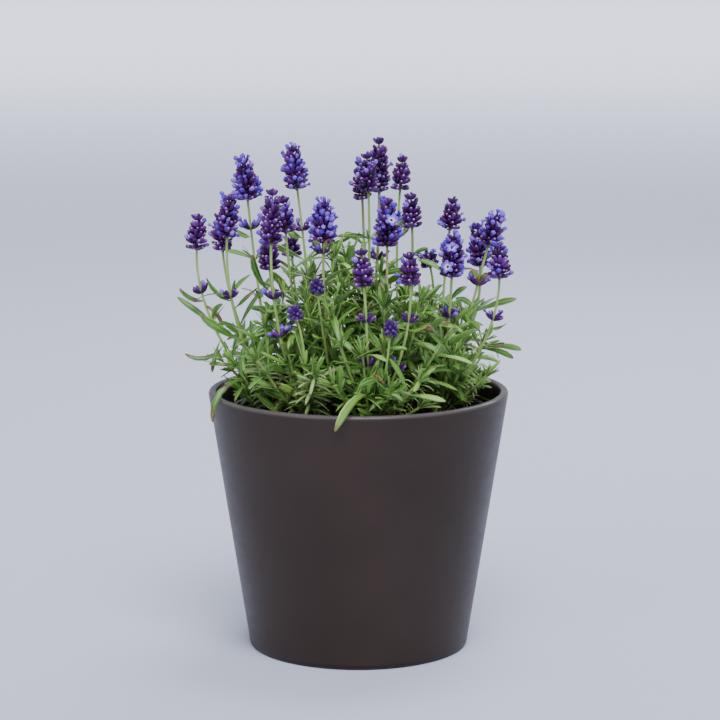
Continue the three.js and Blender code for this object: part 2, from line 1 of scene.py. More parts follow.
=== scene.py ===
# The looks of a potted lavender: a satin dark pot, the black growing pot inside it, crumbly soil,
# and twelve plants with square stems, grey green leaves and violet flower spikes.
# The plants grow here by the same rules as in the solid model, and get finer leaves and flowers.

import json
import math
from types import SimpleNamespace

import bpy
import numpy as np
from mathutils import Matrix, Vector

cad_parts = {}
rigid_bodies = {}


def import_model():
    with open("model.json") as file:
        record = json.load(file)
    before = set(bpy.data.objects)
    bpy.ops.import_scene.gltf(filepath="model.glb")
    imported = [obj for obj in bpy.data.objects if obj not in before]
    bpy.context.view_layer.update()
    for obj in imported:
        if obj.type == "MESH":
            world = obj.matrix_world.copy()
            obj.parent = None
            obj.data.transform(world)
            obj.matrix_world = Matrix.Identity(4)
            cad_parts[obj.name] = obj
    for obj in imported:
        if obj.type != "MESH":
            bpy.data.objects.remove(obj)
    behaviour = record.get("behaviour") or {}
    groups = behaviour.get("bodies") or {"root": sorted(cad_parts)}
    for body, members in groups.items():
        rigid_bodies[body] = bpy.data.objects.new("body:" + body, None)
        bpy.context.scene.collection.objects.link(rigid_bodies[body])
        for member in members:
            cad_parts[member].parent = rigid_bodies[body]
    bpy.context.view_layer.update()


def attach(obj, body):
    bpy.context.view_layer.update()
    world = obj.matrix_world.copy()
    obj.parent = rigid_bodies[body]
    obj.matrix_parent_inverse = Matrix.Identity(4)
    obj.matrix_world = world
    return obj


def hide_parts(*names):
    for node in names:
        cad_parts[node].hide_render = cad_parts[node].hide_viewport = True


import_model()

MM = 0.001

# Pots and soil, in millimetres
POT = {"height": 130, "top": 75, "foot": 55, "wall": 3.9, "floor": 5, "round": 1.6}
GROWING_POT = {"height": 115, "top": 64, "foot": 46, "wall": 1.4, "lip": 1.6, "lip_drop": 4, "base": 5.3}
DRAIN = {"count": 5, "radius": 4, "ring": 28}
SOIL = {"top": 114, "bottom": 7, "crown": 1.2, "side_gap": 0.3}
TURNS = 192

# How the plants grow, in millimetres and degrees, as in the solid model. `turn`, `out` and `up` are
# how far the end of a shoot may stray, `turn` in radians.
STEM = {"tip": 1.0, "foot": 1.25}
FLOWER_CURVE = {"low_out": 0.42, "low_up": 0.3, "high_down": 0.4}
SHOOT = {"count": 25, "first": 0, "turn": (-0.25, 0.25), "reach": 71, "out": (-4, 4), "mid": 76, "fall": 44,
         "up": (-5, 5), "tries": 12, "skip": 5, "tip": 0.85, "bare": 0.3}
SHOOT_CURVE = {"low_out": 0.3, "low_up": 0.35, "high_in": 0.28, "high_down": 0.32}
STEM_LEAF = {"length": (17, 27), "width": (3.1, 4.3), "spread": (38, 62), "droop": (5, 55)}
STEM_LEAF_STEP = 20
SHOOT_LEAF = {"length": (15, 22), "width": (2.6, 3.4), "spread": (30, 70), "droop": (15, 60), "step": 9.2}
BRACT = {"length": (10, 16), "width": (2.4, 3.2), "spread": (55, 68), "droop": (-30, 10)}
BRACT_DROP = 2.4
PALE_LEAF = {"length": (9, 13), "width": (1.7, 2.2), "spread": (52, 74), "droop": (40, 80), "step": 5}

# Room that growth keeps: beads stand for stems, leaves and rings, and a leaf that would touch one
# swings a little more at each try, and is short after a few
RING_REACH = 5
RING_BEAD = {"up": 2.6, "radius": 4}
BEAD_STEP = {"stem": 2.4, "leaf": 2}
LEAF_PLAY = 0.12
LEAFY_STEM = {"bare_top": 8, "bare_foot": 12, "first": 0.8}
FIT = {"tries": 14, "swing": 0.16, "long_tries": 8, "short": 0.75, "foot": 0.35}
GAP = 0.45
OWN_GAP = -0.3
GOLDEN_ANGLE = 2.39996

# Growth that only the looks have
TUFT_LEAF = {"length": (6, 12), "width": (1.5, 2.3), "spread": (18, 48), "droop": (8, 45)}
TIP_LEAF = {"length": (7, 12), "width": (1.4, 2.1), "spread": (6, 28), "droop": (5, 30)}
FILL_SHOOT = {"count": 76, "first": 1.1, "turn": (-0.3, 0.3), "reach": 67, "out": (-5, 4), "mid": 72,
              "fall": 48, "up": (-14, 12), "skip": 4, "gap": -0.8, "own_gap": -9, "step": 6}
FILL_LEAF = {"length": (12, 24), "width": (1.8, 3.5), "spread": (24, 78), "droop": (-35, 120)}
SLIM_LEAF = {"length": (10, 13), "width": (1.2, 1.6), "spread": (52, 74), "droop": (60, 100)}
PALE_STEP = 2.2
PALE_ROOM = 8
CROWD_GAP = -1.1

# Seeds, and the crumbs on the soil
LAYOUT_SEED, LOOKS_SEED, CRUMB_SEED = 4021, 90210, 77
CRUMBS = {"per_m2": 110000.0, "size": (0.6, 2), "play": (0.7, 1.15), "seed": 5}

# The looks of leaves and stems: how thick a leaf is, how far its tint and roll stray, how many small
# leaves stand beside others, and how a stem swells where leaves grow
THIN, PLAIN, THICK = 0.4, 0.55, 0.6
TINT_SPREAD = 0.36
ROLL_SPREAD = 0.75
PALE_ROLL = 0.3
SPOON_WIDTH = 3.5
TUFTS = {"leans": (-0.55, 0.55), "flower": 0.6, "shoot": 0.8, "tip": 6, "tip_turn": 2.2}
CUP = {"length": (8.5, 10), "width": (5, 5.8), "spread": 44, "droop": -30, "roll": (0.1, 0.3)}
KNOT = {"reach": 1.4, "half": 0.7, "swell": 1.22}
WOODY_FOOT = {"rises": (-11, -6, 0, 5), "top": 2.3, "foot": 2.8}
YOUNG_STEM = 0.72
LEAF_TWIST = 0.95
FLOWER_TWIST = 0.4

# Flowers, in millimetres and degrees. SPIKE_FORM is how wide a spike is, as a share of its width, at
# shares of its length. Above its whorls of calyces a spike has a neck and a small tuft.
SPIKE_FORM = ((0, 0.2, 0.5, 0.8, 1), (0.92, 1.06, 1.02, 0.84, 0.6))
SPIKE = {"widest": 11.4, "core": 1.9, "neck": (3.6, 4.8), "short": 15, "short_neck": 2.4, "whorl": 2.35,
         "apart": 2.2, "lean": 84, "rise": 44, "length": (3.0, 5.4), "width": (1.7, 2.2)}
TOP_TUFT = {"count": 6, "down": 3.6, "turn": 1.26, "lean": (38, 60), "last": (0, 14), "length": (3.1, 3.9),
            "width": (1.6, 2.0), "pale": 0.2}
YOUNG_HEAD = {"count": 26, "reach": 0.68, "width": (1.7, 2.2)}
FAN = {"turns": (-0.95, -0.5, 0, 0.5, 0.95), "lean": (38, 72), "length": (4.2, 5.4), "width": (1.5, 1.9)}
FAN_MIDDLE = {"lean": (14, 30), "length": (4.0, 4.8), "width": 1.7}
CALYX_BEND = -14
LILAC_FLOWER = {"size": (2.0, 2.8), "plump": (1.0, 1.25), "bend": (-30, 25), "closed": 0.62}
OPEN_FLOWER = {"heights": (0.58, 0.26), "size": (3.4, 7.2, 7.2), "bend": 4}

# Pale young shoots with many narrow leaves that bend down: plant, and where the tip stands
PALE_SHOOTS = [
    (0, (-49, -36, 150)),
    (2, (-20.5, -60, 148)),
    (8, (31, -49, 143)),
    (11, (61, -22, 151)),
]


def one_flower(base, lean, length, width, **more):
    """A flower stem: where its spike starts, how far the spike leans, and its length and width.
    `rings` says how far below it rings of flowers stand, `bloom` the share of calyces with a lilac
    bud, `opened` how many wide open flowers each side has, `dry` how brown the stem is, `young`
    that it bears a small closed head, and `cup` that broad leaves hold its ring."""
    plain = {"rings": (), "bloom": 0, "opened": 0, "dry": 0, "young": 0, "cup": 0}
    return SimpleNamespace(base=base, lean=lean, length=length, width=width, **{**plain, **more})


# Each plant: its foot on the soil, and its flower stems
PLANTS = [
    ((-42, -13), [
        one_flower((-79.5, -12, 202), 0.04, 18, 10, rings=[22], bloom=0.04),
        one_flower((-64, -22, 209), 0.06, 22, 10.4, rings=[30], bloom=0.2),
    ]),
    ((-40, 15), [
        one_flower((-68, 12, 198), -0.09, 20, 10, bloom=0.08),
        one_flower((-56, 28, 222), -0.1, 22, 13, rings=[15], bloom=0.5),
    ]),
    ((-26, -33), [
        one_flower((-42, -38, 208), 0.03, 27, 10.4, rings=[27, 46], bloom=0.12),
        one_flower((-29, -56, 173), -0.3, 8, 7.2, young=1),
    ]),
    ((-20, -6), [
        one_flower((-36, -2, 209), -0.08, 18.5, 10, bloom=0.08),
        one_flower((-43.5, -14, 192), -0.05, 17, 10.4, bloom=0.05),
    ]),
    ((-18, 28), [
        one_flower((-34, 44, 191), -0.04, 11, 10, bloom=0.05),
        one_flower((-31, 31, 227), -0.13, 22.5, 12.4, rings=[21], bloom=0.38),
    ]),
    ((-8, -19), [
        one_flower((-17, -28, 207), 0.02, 21, 13, rings=[5], bloom=0.7, dry=0.6, cup=1),
        one_flower((-19.5, -44, 184), -0.12, 8, 7, young=1),
    ]),
    ((2, 15), [
        one_flower((2, 50, 220), -0.05, 20.5, 10, bloom=0.12, dry=0.8),
        one_flower((10.5, 27, 226), 0, 28, 10.4, rings=[34], bloom=0.14),
        one_flower((5, 7, 228), -0.04, 20.5, 10, bloom=0.08),
    ]),
    ((14, -20), [
        one_flower((14, -24, 205), 0, 24, 12.6, bloom=0.5, opened=1, dry=0.7),
    ]),
    ((6, -42), [
        one_flower((2.7, -52, 189), -0.08, 19, 10, rings=[17, 39], bloom=0.05),
        one_flower((25, -46, 189), -0.04, 16.5, 10, rings=[18, 43], bloom=0.06),
        one_flower((15, -60, 166), 0.08, 8.5, 7, young=1),
    ]),
    ((21, 36), [
        one_flower((21.5, 58, 224), 0.08, 18, 9.6, bloom=0.06),
        one_flower((27, 18, 209), -0.04, 18, 10.2, rings=[29], bloom=0.06),
        one_flower((37, 48, 185), -0.25, 8.5, 9.4, bloom=0.2),
    ]),
    ((38, 17), [
        one_flower((46.5, 36, 206), 0.11, 17, 10.4, bloom=0.1),
        one_flower((62.5, 42, 186), -0.07, 23, 10.4, bloom=0.35),
    ]),
    ((38, -12), [
        one_flower((45.5, -26, 190), 0.04, 22, 13, rings=[20], bloom=0.42, opened=2),
        one_flower((69.5, -12, 187.5), 0, 17.5, 11, rings=[21], bloom=0.28),
        one_flower((65, 14, 200), 0.27, 17, 12, rings=[20], bloom=0.6, cup=1),
    ]),
]

# Leafy shoots at the front with a place of their own: plant, where the tip stands, and the leaves
FRONT_SHOOTS = [
    (0, (-59.5, -27, 146), SHOOT_LEAF),
    (2, (-20.5, -60, 148), PALE_LEAF),
    (8, (4, -60, 138), SHOOT_LEAF),
]

# Leaves that stand out: plant, kind and number of the stem, how far down it grows, where its tip
# stands, its width, how far it arches over in degrees, and its colour. The first two hang over the
# pot's rim.
SHOWN_LEAVES = [
    (8, "shoot", 0, 0, (-11, -85, 125), 4.8, 75, "rim"),
    (0, "shoot", 0, 9, (-71, -38, 120), 3.2, 110, "brown"),
    (0, "flower", 0, 26, (-88, -14, 183), 3.2, -55, "brown"),
    (0, "flower", 0, 28, (-67, -15, 163), 2.2, 60, "yellow"),
    (0, "flower", 0, 50, (-86, -12, 150), 2.6, -100, "brown"),
    (0, "flower", 0, 47, (-72, -22, 142), 2.2, 20, "brown"),
    (0, "flower", 1, 36, (-49, -27, 185), 3.2, 5, "brown"),
    (0, "flower", 1, 53, (-77, -26, 171), 4.2, -10, "green"),
    (0, "shoot", 0, 14, (-39, -36, 125), 3.8, -25, "green"),
    (1, "flower", 0, 26, (-76, 8, 185), 3.4, -45, "green"),
    (1, "flower", 1, 19, (-62, 26, 207), 3, -45, "green"),
    (2, "flower", 0, 66, (-47, -41, 152), 3.8, 5, "green"),
    (3, "flower", 1, 12, (-52, -18, 200), 3.8, -50, "green"),
    (4, "flower", 1, 25, (-36, 34, 206), 3.8, -45, "green"),
    (6, "flower", 1, 25, (-11, 22, 204), 2.4, 35, "green"),
    (6, "flower", 1, 25, (26, 29, 208), 2.6, -45, "green"),
    (8, "flower", 1, 22, (14, -50, 174), 3.2, -15, "green"),
    (8, "flower", 1, 22, (35, -50, 172), 3.2, -55, "green"),
    (8, "flower", 1, 47, (8, -51, 145), 3.4, 20, "green"),
    (8, "flower", 0, 42, (-3, -58, 133), 3.8, 25, "green"),
    (8, "flower", 0, 42, (7, -59, 136), 3.8, 50, "green"),
    (9, "flower", 1, 14, (35, 14, 199), 2.2, 50, "green"),
    (11, "flower", 0, 12, (53, -22, 185), 3.6, 45, "green"),
    (11, "flower", 0, 57, (41, -31, 149), 4.8, -60, "green"),
    (11, "flower", 1, 25, (73, -17, 166), 3.2, -60, "brown"),
    (11, "flower", 1, 34, (72, -17, 156), 3.6, -45, "brown"),
    (11, "flower", 1, 37, (77, -10, 147), 2.8, 45, "green"),
    (11, "flower", 2, 39, (49, -6, 175), 3.4, -15, "green"),
]
FACE_TURN = 0.6
FRONT = np.array([0.0, -1.0, 0.0])

# The camera stands where the photograph was taken from
CAMERA = {"at": (0.8, -1283, 365), "pitch": 9.75, "lens": 130.2, "sensor": 36}

# The floor and the lights, in metres, degrees and watts. Each panel: name, place, size and power.
FLOOR_HALF = 20
SUN = {"at": (0.2, -1.2, 2.0), "power": 3.2, "angle": 35, "colour": (0.98, 0.985, 1.0)}
PANELS = [
    ("left_panel", (-0.8, -0.9, 0.7), (0.35, 0.9), 3.2),
    ("top_panel", (0.1, 0.3, 1.5), (0.5, 0.3), 6.0),
    ("back_panel", (0.5, 1.0, 1.0), (0.9, 0.6), 6.0),
]
BACKDROP_WASH = ("backdrop_wash", (0, 7, 4), (8, 8), 350.0, (0, 7.5, 0))
WASH_SPREAD = 80
SKY = {"colour": (0.78, 0.84, 1.0), "strength": 0.5}


# Random draws, directions and curved stems

class Draws:
    """The same draws every time, from a small fixed generator."""

    def __init__(self, state):
        self.state = state

    def __call__(self, low, high):
        self.state = self.state * 48271 % 2147483647
        return low + (high - low) * self.state / 2147483647


def unit(v):
    return v / np.linalg.norm(v)


def square_to(axis, spin):
    across = unit(np.cross((0.0, 1.0, 0.0), axis))
    across = across * math.cos(spin) + np.cross(axis, across) * math.sin(spin)
    return across, np.cross(axis, across)


class Place:
    """A point on a stem, with the stem's direction there and two directions square to it."""

    def __init__(self, at, axis, spin):
        self.at = at
        self.axis = axis
        self.across, self.along = square_to(axis, spin)

    def outward(self, azimuth):
        return self.across * math.cos(azimuth) + self.along * math.sin(azimuth)

    def rightward(self):
        """The azimuth that points to the right in the photo."""
        return math.atan2(self.along[0], self.across[0])


class Stem:
    """A stem on a cubic curve, and the places measured down it from its tip."""

    def __init__(self, start, low, high, end, spin):
        self.controls = [np.array(p, float) for p in (start, low, high, end)]
        self.spin = spin
        self.leaf = SHOOT_LEAF
        self.shares = np.linspace(0, 1, 201)
        steps = np.diff(self.points(self.shares), axis=0)
        self.reached = np.concatenate([[0], np.cumsum(np.linalg.norm(steps, axis=1))])
        self.length = self.reached[-1]
        self.nodes = []

    def points(self, shares):
        t = np.asarray(shares, float)[..., None]
        a, b, c, d = self.controls
        return a * (1 - t) ** 3 + b * 3 * (1 - t) ** 2 * t + c * 3 * (1 - t) * t * t + d * t ** 3

    def place_below(self, distance):
        way = max(0.0, 1 - distance / self.length)
        share = np.interp(way * self.length, self.reached, self.shares)
        ahead = self.points(min(1.0, share + 1e-4)) - self.points(max(0.0, share - 1e-4))
        return Place(self.points(share), unit(ahead), self.spin)

    def trail(self, tip_radius):
        count = math.ceil(self.length / BEAD_STEP["stem"])
        at = self.points(np.arange(count + 1) / count)
        return at, np.full(count + 1, tip_radius + 0.5)


# Where things are: beads along all that has grown, which new growth stays clear of

class Beads:
    def __init__(self):
        self.at = np.zeros((0, 3))
        self.radius = np.zeros(0)
        self.owner = np.zeros(0, int)

    def keep(self, at, radius, owner):
        self.at = np.vstack([self.at, at])
        self.radius = np.concatenate([self.radius, radius])
        self.owner = np.concatenate([self.owner, np.full(len(radius), owner)])

    def is_free(self, at, radius, owner, skip_own=0, gap=GAP, own_gap=OWN_GAP):
        for i, (point, size) in enumerate(zip(at, radius)):
            if not clear_of_pots(point, size):
                return False
            apart = np.linalg.norm(self.at - point, axis=1) - self.radius - size
            own = self.owner == owner
            if (apart[~own] <= gap).any() or (i >= skip_own and (apart[own] <= own_gap).any()):
                return False
        return True


SPIKES, RINGS = 100, 101


def pot_outer(z):
    return POT["foot"] + (POT["top"] - POT["foot"]) * z / (POT["height"] - POT["round"])


def growing_pot_radius(z):
    share = (z - GROWING_POT["base"]) / GROWING_POT["height"]
    return GROWING_POT["foot"] + (GROWING_POT["top"] - GROWING_POT["foot"]) * share


def growing_pot_inside(z):
    return growing_pot_radius(z) - GROWING_POT["wall"]


GROWING_POT_TOP = GROWING_POT["base"] + GROWING_POT["height"]
GROWING_POT_LIP = growing_pot_radius(GROWING_POT_TOP) + GROWING_POT["lip"]


def clear_of_pots(point, radius):
    x, y, z = point
    reach = math.hypot(x, y)
    space = radius + GAP
    over_soil = z > SOIL["top"] + SOIL["crown"] + space
    outside_lip = reach > GROWING_POT_LIP + space
    clear_of_lip = z > GROWING_POT_TOP + space or reach < growing_pot_inside(z) - space
    clear_of_wall = (z > POT["height"] + space or reach < pot_outer(z) - POT["wall"] - space
                     or reach > pot_outer(z) + space)
    return clear_of_wall and (outside_lip or (over_soil and clear_of_lip))


# Leaves

class Blade:
    """A leaf on an arc, with the directions that it starts in and that its upper side faces."""

    look = "any"
    roll = 0.0

    def __init__(self, at, ahead, face, length, width, bend):
        self.at = at
        self.ahead = ahead
        self.face = face
        self.side = np.cross(ahead, face)
        self.length = length
        self.width = width
        self.bend = math.radians(1 if abs(bend) < 1 else bend)

    def trail(self):
        count = math.ceil(self.length / BEAD_STEP["leaf"])
        shares = (np.arange(count) + 1) / count
        turn = self.bend * shares[:, None]
        arc = self.length / self.bend
        at = self.at + self.ahead * arc * np.sin(turn) - self.face * arc * (1 - np.cos(turn))
        return at, np.where(shares < 0.9, 0.46, 0.3) * self.width


def blade_at(place, azimuth, length, width, spread, droop):
    """A blade out of a stem, at an angle from the stem's axis."""
    tilt = math.radians(spread)
    out = place.outward(azimuth)
    ahead = place.axis * math.cos(tilt) + out * math.sin(tilt)
    face = place.axis * math.sin(tilt) - out * math.cos(tilt)
    return Blade(place.at, ahead, face, length, width, droop)


def blade_to(place, tip, width, bow):
    """A blade whose tip stands at a given place, turned part of the way to the front."""
    chord = np.array(tip, float) - place.at
    to_tip = unit(chord)
    upward = unit(place.axis - to_tip * (place.axis @ to_tip))
    half = math.radians(bow) / 2
    ahead = to_tip * math.cos(half) + upward * math.sin(half)
    face = upward * math.cos(half) - to_tip * math.sin(half)
    blade = Blade(place.at, ahead, face, np.linalg.norm(chord) * half / math.sin(half), width, bow)
    blade.roll = FACE_TURN * math.atan2(FRONT @ blade.side, FRONT @ face)
    return blade


def wanted_leaf(draw, kind):
    return {key: draw(*kind[key]) for key in ("length", "width", "spread", "droop")}


def fit_blade(beads, place, azimuth, wanted, owner):
    """Tries a leaf at its place, then turned a little more each time, until it is clear."""
    for attempt in range(FIT["tries"]):
        swing = (1 if attempt % 2 else -1) * math.ceil(attempt / 2) * FIT["swing"]
        length = wanted["length"] * (FIT["short"] if attempt > FIT["long_tries"] else 1)
        blade = blade_at(place, azimuth + swing, **{**wanted, "length": length})
        at, radius = blade.trail()
        if beads.is_free(at, radius, owner, math.ceil(len(at) * FIT["foot"])):
            beads.keep(at, radius, owner)
            return [blade]
    return []


def leaf_pair(beads, draw, stem, distance, turn, kind, owner):
    place = stem.place_below(distance)
    stem.nodes.append((distance, turn))
    return [blade for facing in (0, math.pi)
            for blade in fit_blade(beads, place, turn + facing + draw(-LEAF_PLAY, LEAF_PLAY),
                                   wanted_leaf(draw, kind), owner)]


# The twelve plants, grown as in the solid model

class Plant:
    def __init__(self, index, foot, flowers, draw):
        self.owner = index
        self.name = f"plant_{index + 1:02d}"
        self.foot = foot
        self.flowers = flowers
        self.stems = [flower_stem(foot, f, draw) for f in self.flowers]
        self.shoots = []
        self.blades = []


def flower_stem(foot, flower, draw):
    start = np.array([*foot, SOIL["top"] + 1], float)
    end = np.array(flower.base, float)
    out = end - start
    axis = unit(np.array([flower.lean, 0, 1.0]))
    c = FLOWER_CURVE
    low = start + out * (c["low_out"], c["low_out"], c["low_up"])
    return Stem(start, low, end - axis * out[2] * c["high_down"], end, draw(0, math.pi / 2))


def shoot_stem(foot, tip, draw):
    start = np.array([*foot, SOIL["top"] + 1], float)
    out = tip - start
    c = SHOOT_CURVE
    low = start + out * (c["low_out"], c["low_out"], c["low_up"])
    high = tip - out * (c["high_in"], c["high_in"], c["high_down"])
    return Stem(start, low, high, tip, draw(0, math.pi / 2))


def nearest_plant(plants, tip):
    return min(plants, key=lambda p: math.hypot(p.foot[0] - tip[0] * 0.66, p.foot[1] - tip[1] * 0.66))


def keep_flowers(beads, plant):
    for flower, stem in zip(plant.flowers, plant.stems):
        beads.keep(*stem.trail(STEM["tip"]), plant.owner)
        seat = stem.place_below(0)
        steps = math.ceil(flower.length / 2)
        shares = np.arange(steps + 1) / steps
        at = seat.at + seat.axis * (shares[:, None] * flower.length + 1)
        beads.keep(at, flower.width / 2 * np.where(shares < 0.7, 1, 0.7), SPIKES)
        for distance in flower.rings:
            ring = stem.place_below(distance)
            beads.keep([ring.at + ring.axis * RING_BEAD["up"]], [RING_BEAD["radius"]], RINGS)


def spread_tip(draw, i, shoots):
    """Where one of many shoots ends: spread evenly over the pot in a spiral, with some play."""
    share = (i + 0.5) / shoots["count"]
    angle = i * GOLDEN_ANGLE + shoots["first"] + draw(*shoots["turn"])
    reach = shoots["reach"] * math.sqrt(share) + draw(*shoots["out"])
    height = shoots["mid"] - shoots["fall"] * share + draw(*shoots["up"])
    return np.array([reach * math.cos(angle), reach * math.sin(angle), SOIL["top"] + height])


def shoot_beads(stem, skip):
    """The beads along a shoot, without those in the crowd at its foot."""
    at, radius = stem.trail(SHOOT["tip"])
    return at[skip:], radius[skip:]


def grow_front_shoots(beads, plants, draw):
    for index, tip, leaf in FRONT_SHOOTS:
        plant = plants[index]
        stem = shoot_stem(plant.foot, np.array(tip, float), draw)
        stem.leaf = leaf
        beads.keep(*shoot_beads(stem, SHOOT["skip"]), plant.owner)
        plant.shoots.append(stem)


def grow_shoots(beads, plants, draw):
    for i in range(SHOOT["count"]):
        for _ in range(SHOOT["tries"]):
            tip = spread_tip(draw, i, SHOOT)
            plant = nearest_plant(plants, tip)
            stem = shoot_stem(plant.foot, tip, draw)
            at, radius = shoot_beads(stem, SHOOT["skip"])
            if beads.is_free(at, radius, plant.owner):
                beads.keep(at, radius, plant.owner)
                plant.shoots.append(stem)
                break


def grow_shown_leaves(beads, plants):
    """The leaves that stand out, which come before all others."""
    for index, kind, number, down, tip, width, bow, look in SHOWN_LEAVES:
        plant = plants[index]
        stem = (plant.stems if kind == "flower" else plant.shoots)[number]
        blade = blade_to(stem.place_below(down), tip, width, bow)
        beads.keep(*blade.trail(), plant.owner)
        blade.look = look
        plant.blades.append(blade)


def has_leaf_near(plant, place):
    return any(np.linalg.norm(blade.at - place.at) < RING_REACH for blade in plant.blades)


def grow_leaves(beads, plant, draw):
    for flower, stem in zip(plant.flowers, plant.stems):
        turn = math.pi / 4
        for distance in flower.rings:
            if not has_leaf_near(plant, stem.place_below(distance + BRACT_DROP)):
                for blade in leaf_pair(beads, draw, stem, distance + BRACT_DROP, turn, BRACT, plant.owner):
                    blade.look = "bract"
                    plant.blades.append(blade)
            turn += math.pi / 2
        bare = flower.rings[-1] if flower.rings else LEAFY_STEM["bare_top"]
        down = bare + STEM_LEAF_STEP * LEAFY_STEM["first"]
        while down < stem.length - LEAFY_STEM["bare_foot"]:
            plant.blades += leaf_pair(beads, draw, stem, down, turn, STEM_LEAF, plant.owner)
            turn += math.pi / 2
            down += STEM_LEAF_STEP
    for stem in plant.shoots:
        turn = math.pi / 4
        down = 1
        while down < stem.length * (1 - SHOOT["bare"]):
            pair = leaf_pair(beads, draw, stem, down, turn, stem.leaf, plant.owner)
            for blade in pair if stem.leaf is PALE_LEAF else ():
                blade.look = "pale"
            plant.blades += pair
            turn += math.pi / 2
            down += stem.leaf["step"]


def grow_all():
    draw = Draws(LAYOUT_SEED)
    beads = Beads()
    plants = [Plant(i, foot, flowers, draw) for i, (foot, flowers) in enumerate(PLANTS)]
    for plant in plants:
        keep_flowers(beads, plant)
    grow_front_shoots(beads, plants, draw)
    grow_shoots(beads, plants, draw)
    grow_shown_leaves(beads, plants)
    for plant in plants:
        grow_leaves(beads, plant, draw)
    return beads, plants


# Node trees, for shapes and for materials

class Wire:
    """What a node gives out. The signs + - * / join it to another wire or a number by a math node."""

    def __init__(self, graph, socket):
        self.graph = graph
        self.socket = socket

    def __add__(self, other):
        return self.graph.join("ADD", self, other)

    def __sub__(self, other):
        return self.graph.join("SUBTRACT", self, other)

    def __mul__(self, other):
        return self.graph.join("MULTIPLY", self, other)

    def __truediv__(self, other):
        return self.graph.join("DIVIDE", self, other)


class Graph:
    """A node tree that is built one node at a time, each node's values in its sockets' order."""

    def __init__(self, tree):
        self.tree = tree

    def add(self, kind, *values, out=0, named=None, **settings):
        node = self.tree.nodes.new(kind)
        for key, value in settings.items():
            setattr(node, key, value)
        sockets = [s for s in node.inputs if s.enabled]
        for socket, value in zip(sockets, values):
            self.fill(socket, value)
        for key, value in (named or {}).items():
            self.fill(next(s for s in sockets if s.name == key), value)
        shown = [s for s in node.outputs if s.enabled]
        return Wire(self, shown[out] if isinstance(out, int) else next(s for s in shown if s.name == out))

    def fill(self, socket, value):
        if isinstance(value, Wire):
            self.tree.links.new(value.socket, socket)
        elif value is not None:
            socket.default_value = (*value, 1.0) if socket.type == "RGBA" else value

    def math(self, operation, a, b=None):
        return self.add("ShaderNodeMath", a, b, operation=operation)

    def join(self, operation, a, b):
        """Number with number, vector with vector, or vector times number."""
        if a.socket.type != "VECTOR":
            return self.math(operation, a, b)
        if operation == "MULTIPLY":
            return self.add("ShaderNodeVectorMath", a, operation="SCALE", named={"Scale": b})
        return self.add("ShaderNodeVectorMath", a, b, operation=operation)

    def parts(self, vector):
        return [self.add("ShaderNodeSeparateXYZ", vector, out=i) for i in range(3)]


class ShapeTree(Graph):
    """A Geometry Nodes tree with named inputs."""

    def __init__(self, name, **inputs):
        super().__init__(bpy.data.node_groups.new(name, "GeometryNodeTree"))
        face = self.tree.interface
        face.new_socket("Geometry", in_out="OUTPUT", socket_type="NodeSocketGeometry")
        face.new_socket("Geometry", in_out="INPUT", socket_type="NodeSocketGeometry")
        for label, (kind, default) in inputs.items():
            socket = face.new_socket(label, in_out="INPUT", socket_type="NodeSocket" + kind)
            if default is not None:
                socket.default_value = default
        start = self.tree.nodes.new("NodeGroupInput")
        self.inputs = {socket.name: Wire(self, socket) for socket in start.outputs}

    def attribute(self, name, kind="FLOAT"):
        return self.add("GeometryNodeInputNamedAttribute", name, data_type=kind)

    def vector(self, name):
        return self.attribute(name, "FLOAT_VECTOR")

    def finish(self, geometry):
        smooth = self.add("GeometryNodeSetShadeSmooth", geometry)
        real = self.add("GeometryNodeRealizeInstances", smooth)
        painted = self.add("GeometryNodeSetMaterial", real, None, self.inputs["Material"])
        self.fill(self.tree.nodes.new("NodeGroupOutput").inputs[0], painted)
        return self.tree


def copies_tree():
    """Copies of shapes on points. Each shape is drawn along its own arc, by the point's
    directions, size, bend and roll, and gets a random twist."""
    tree = ShapeTree("Copies on points", Shapes=("Collection", None), Length=("Float", 1.0),
                     Width=("Float", 1.0), Twist=("Float", 0.3), Seed=("Int", 1), Material=("Material", None))
    most = tree.inputs["Twist"]
    twist = tree.add("FunctionNodeRandomValue", most * -1.0, most, data_type="FLOAT",
                     named={"Seed": tree.inputs["Seed"]})
    points = tree.add("GeometryNodeStoreNamedAttribute", tree.inputs["Geometry"], None, "twist", twist,
                      data_type="FLOAT", domain="POINT")
    shapes = tree.add("GeometryNodeCollectionInfo", tree.inputs["Shapes"], True, False,
                      transform_space="ORIGINAL")
    copies = tree.add("GeometryNodeInstanceOnPoints", points, named={
        "Instance": shapes, "Pick Instance": True, "Instance Index": tree.attribute("shape", "INT")})
    real = tree.add("GeometryNodeRealizeInstances", copies)

    along, across, up = tree.parts(tree.vector("spot"))
    length, width, depth = tree.parts(tree.vector("size"))
    at, ahead, face, side = (tree.vector(name) for name in ("at", "ahead", "face", "side"))
    turn = tree.attribute("bend") * along
    sine, cosine = tree.math("SINE", turn), tree.math("COSINE", turn)
    arc = length * tree.inputs["Length"] / tree.attribute("bend")
    spine = at + (ahead * (arc * sine) + face * (arc * (cosine - 1.0)))
    lifted = face * cosine + ahead * sine
    turned = tree.math("MINIMUM", along * 3.0, 1.0)
    roll = tree.attribute("twist") * along - tree.attribute("roll") * turned
    sine, cosine = tree.math("SINE", roll), tree.math("COSINE", roll)
    right = side * cosine + lifted * sine
    above = lifted * cosine - side * sine
    offset = right * (across * (width * tree.inputs["Width"])) + above * (up * depth)
    placed = tree.add("GeometryNodeSetPosition", real, named={"Position": spine + offset})
    return tree.finish(placed)


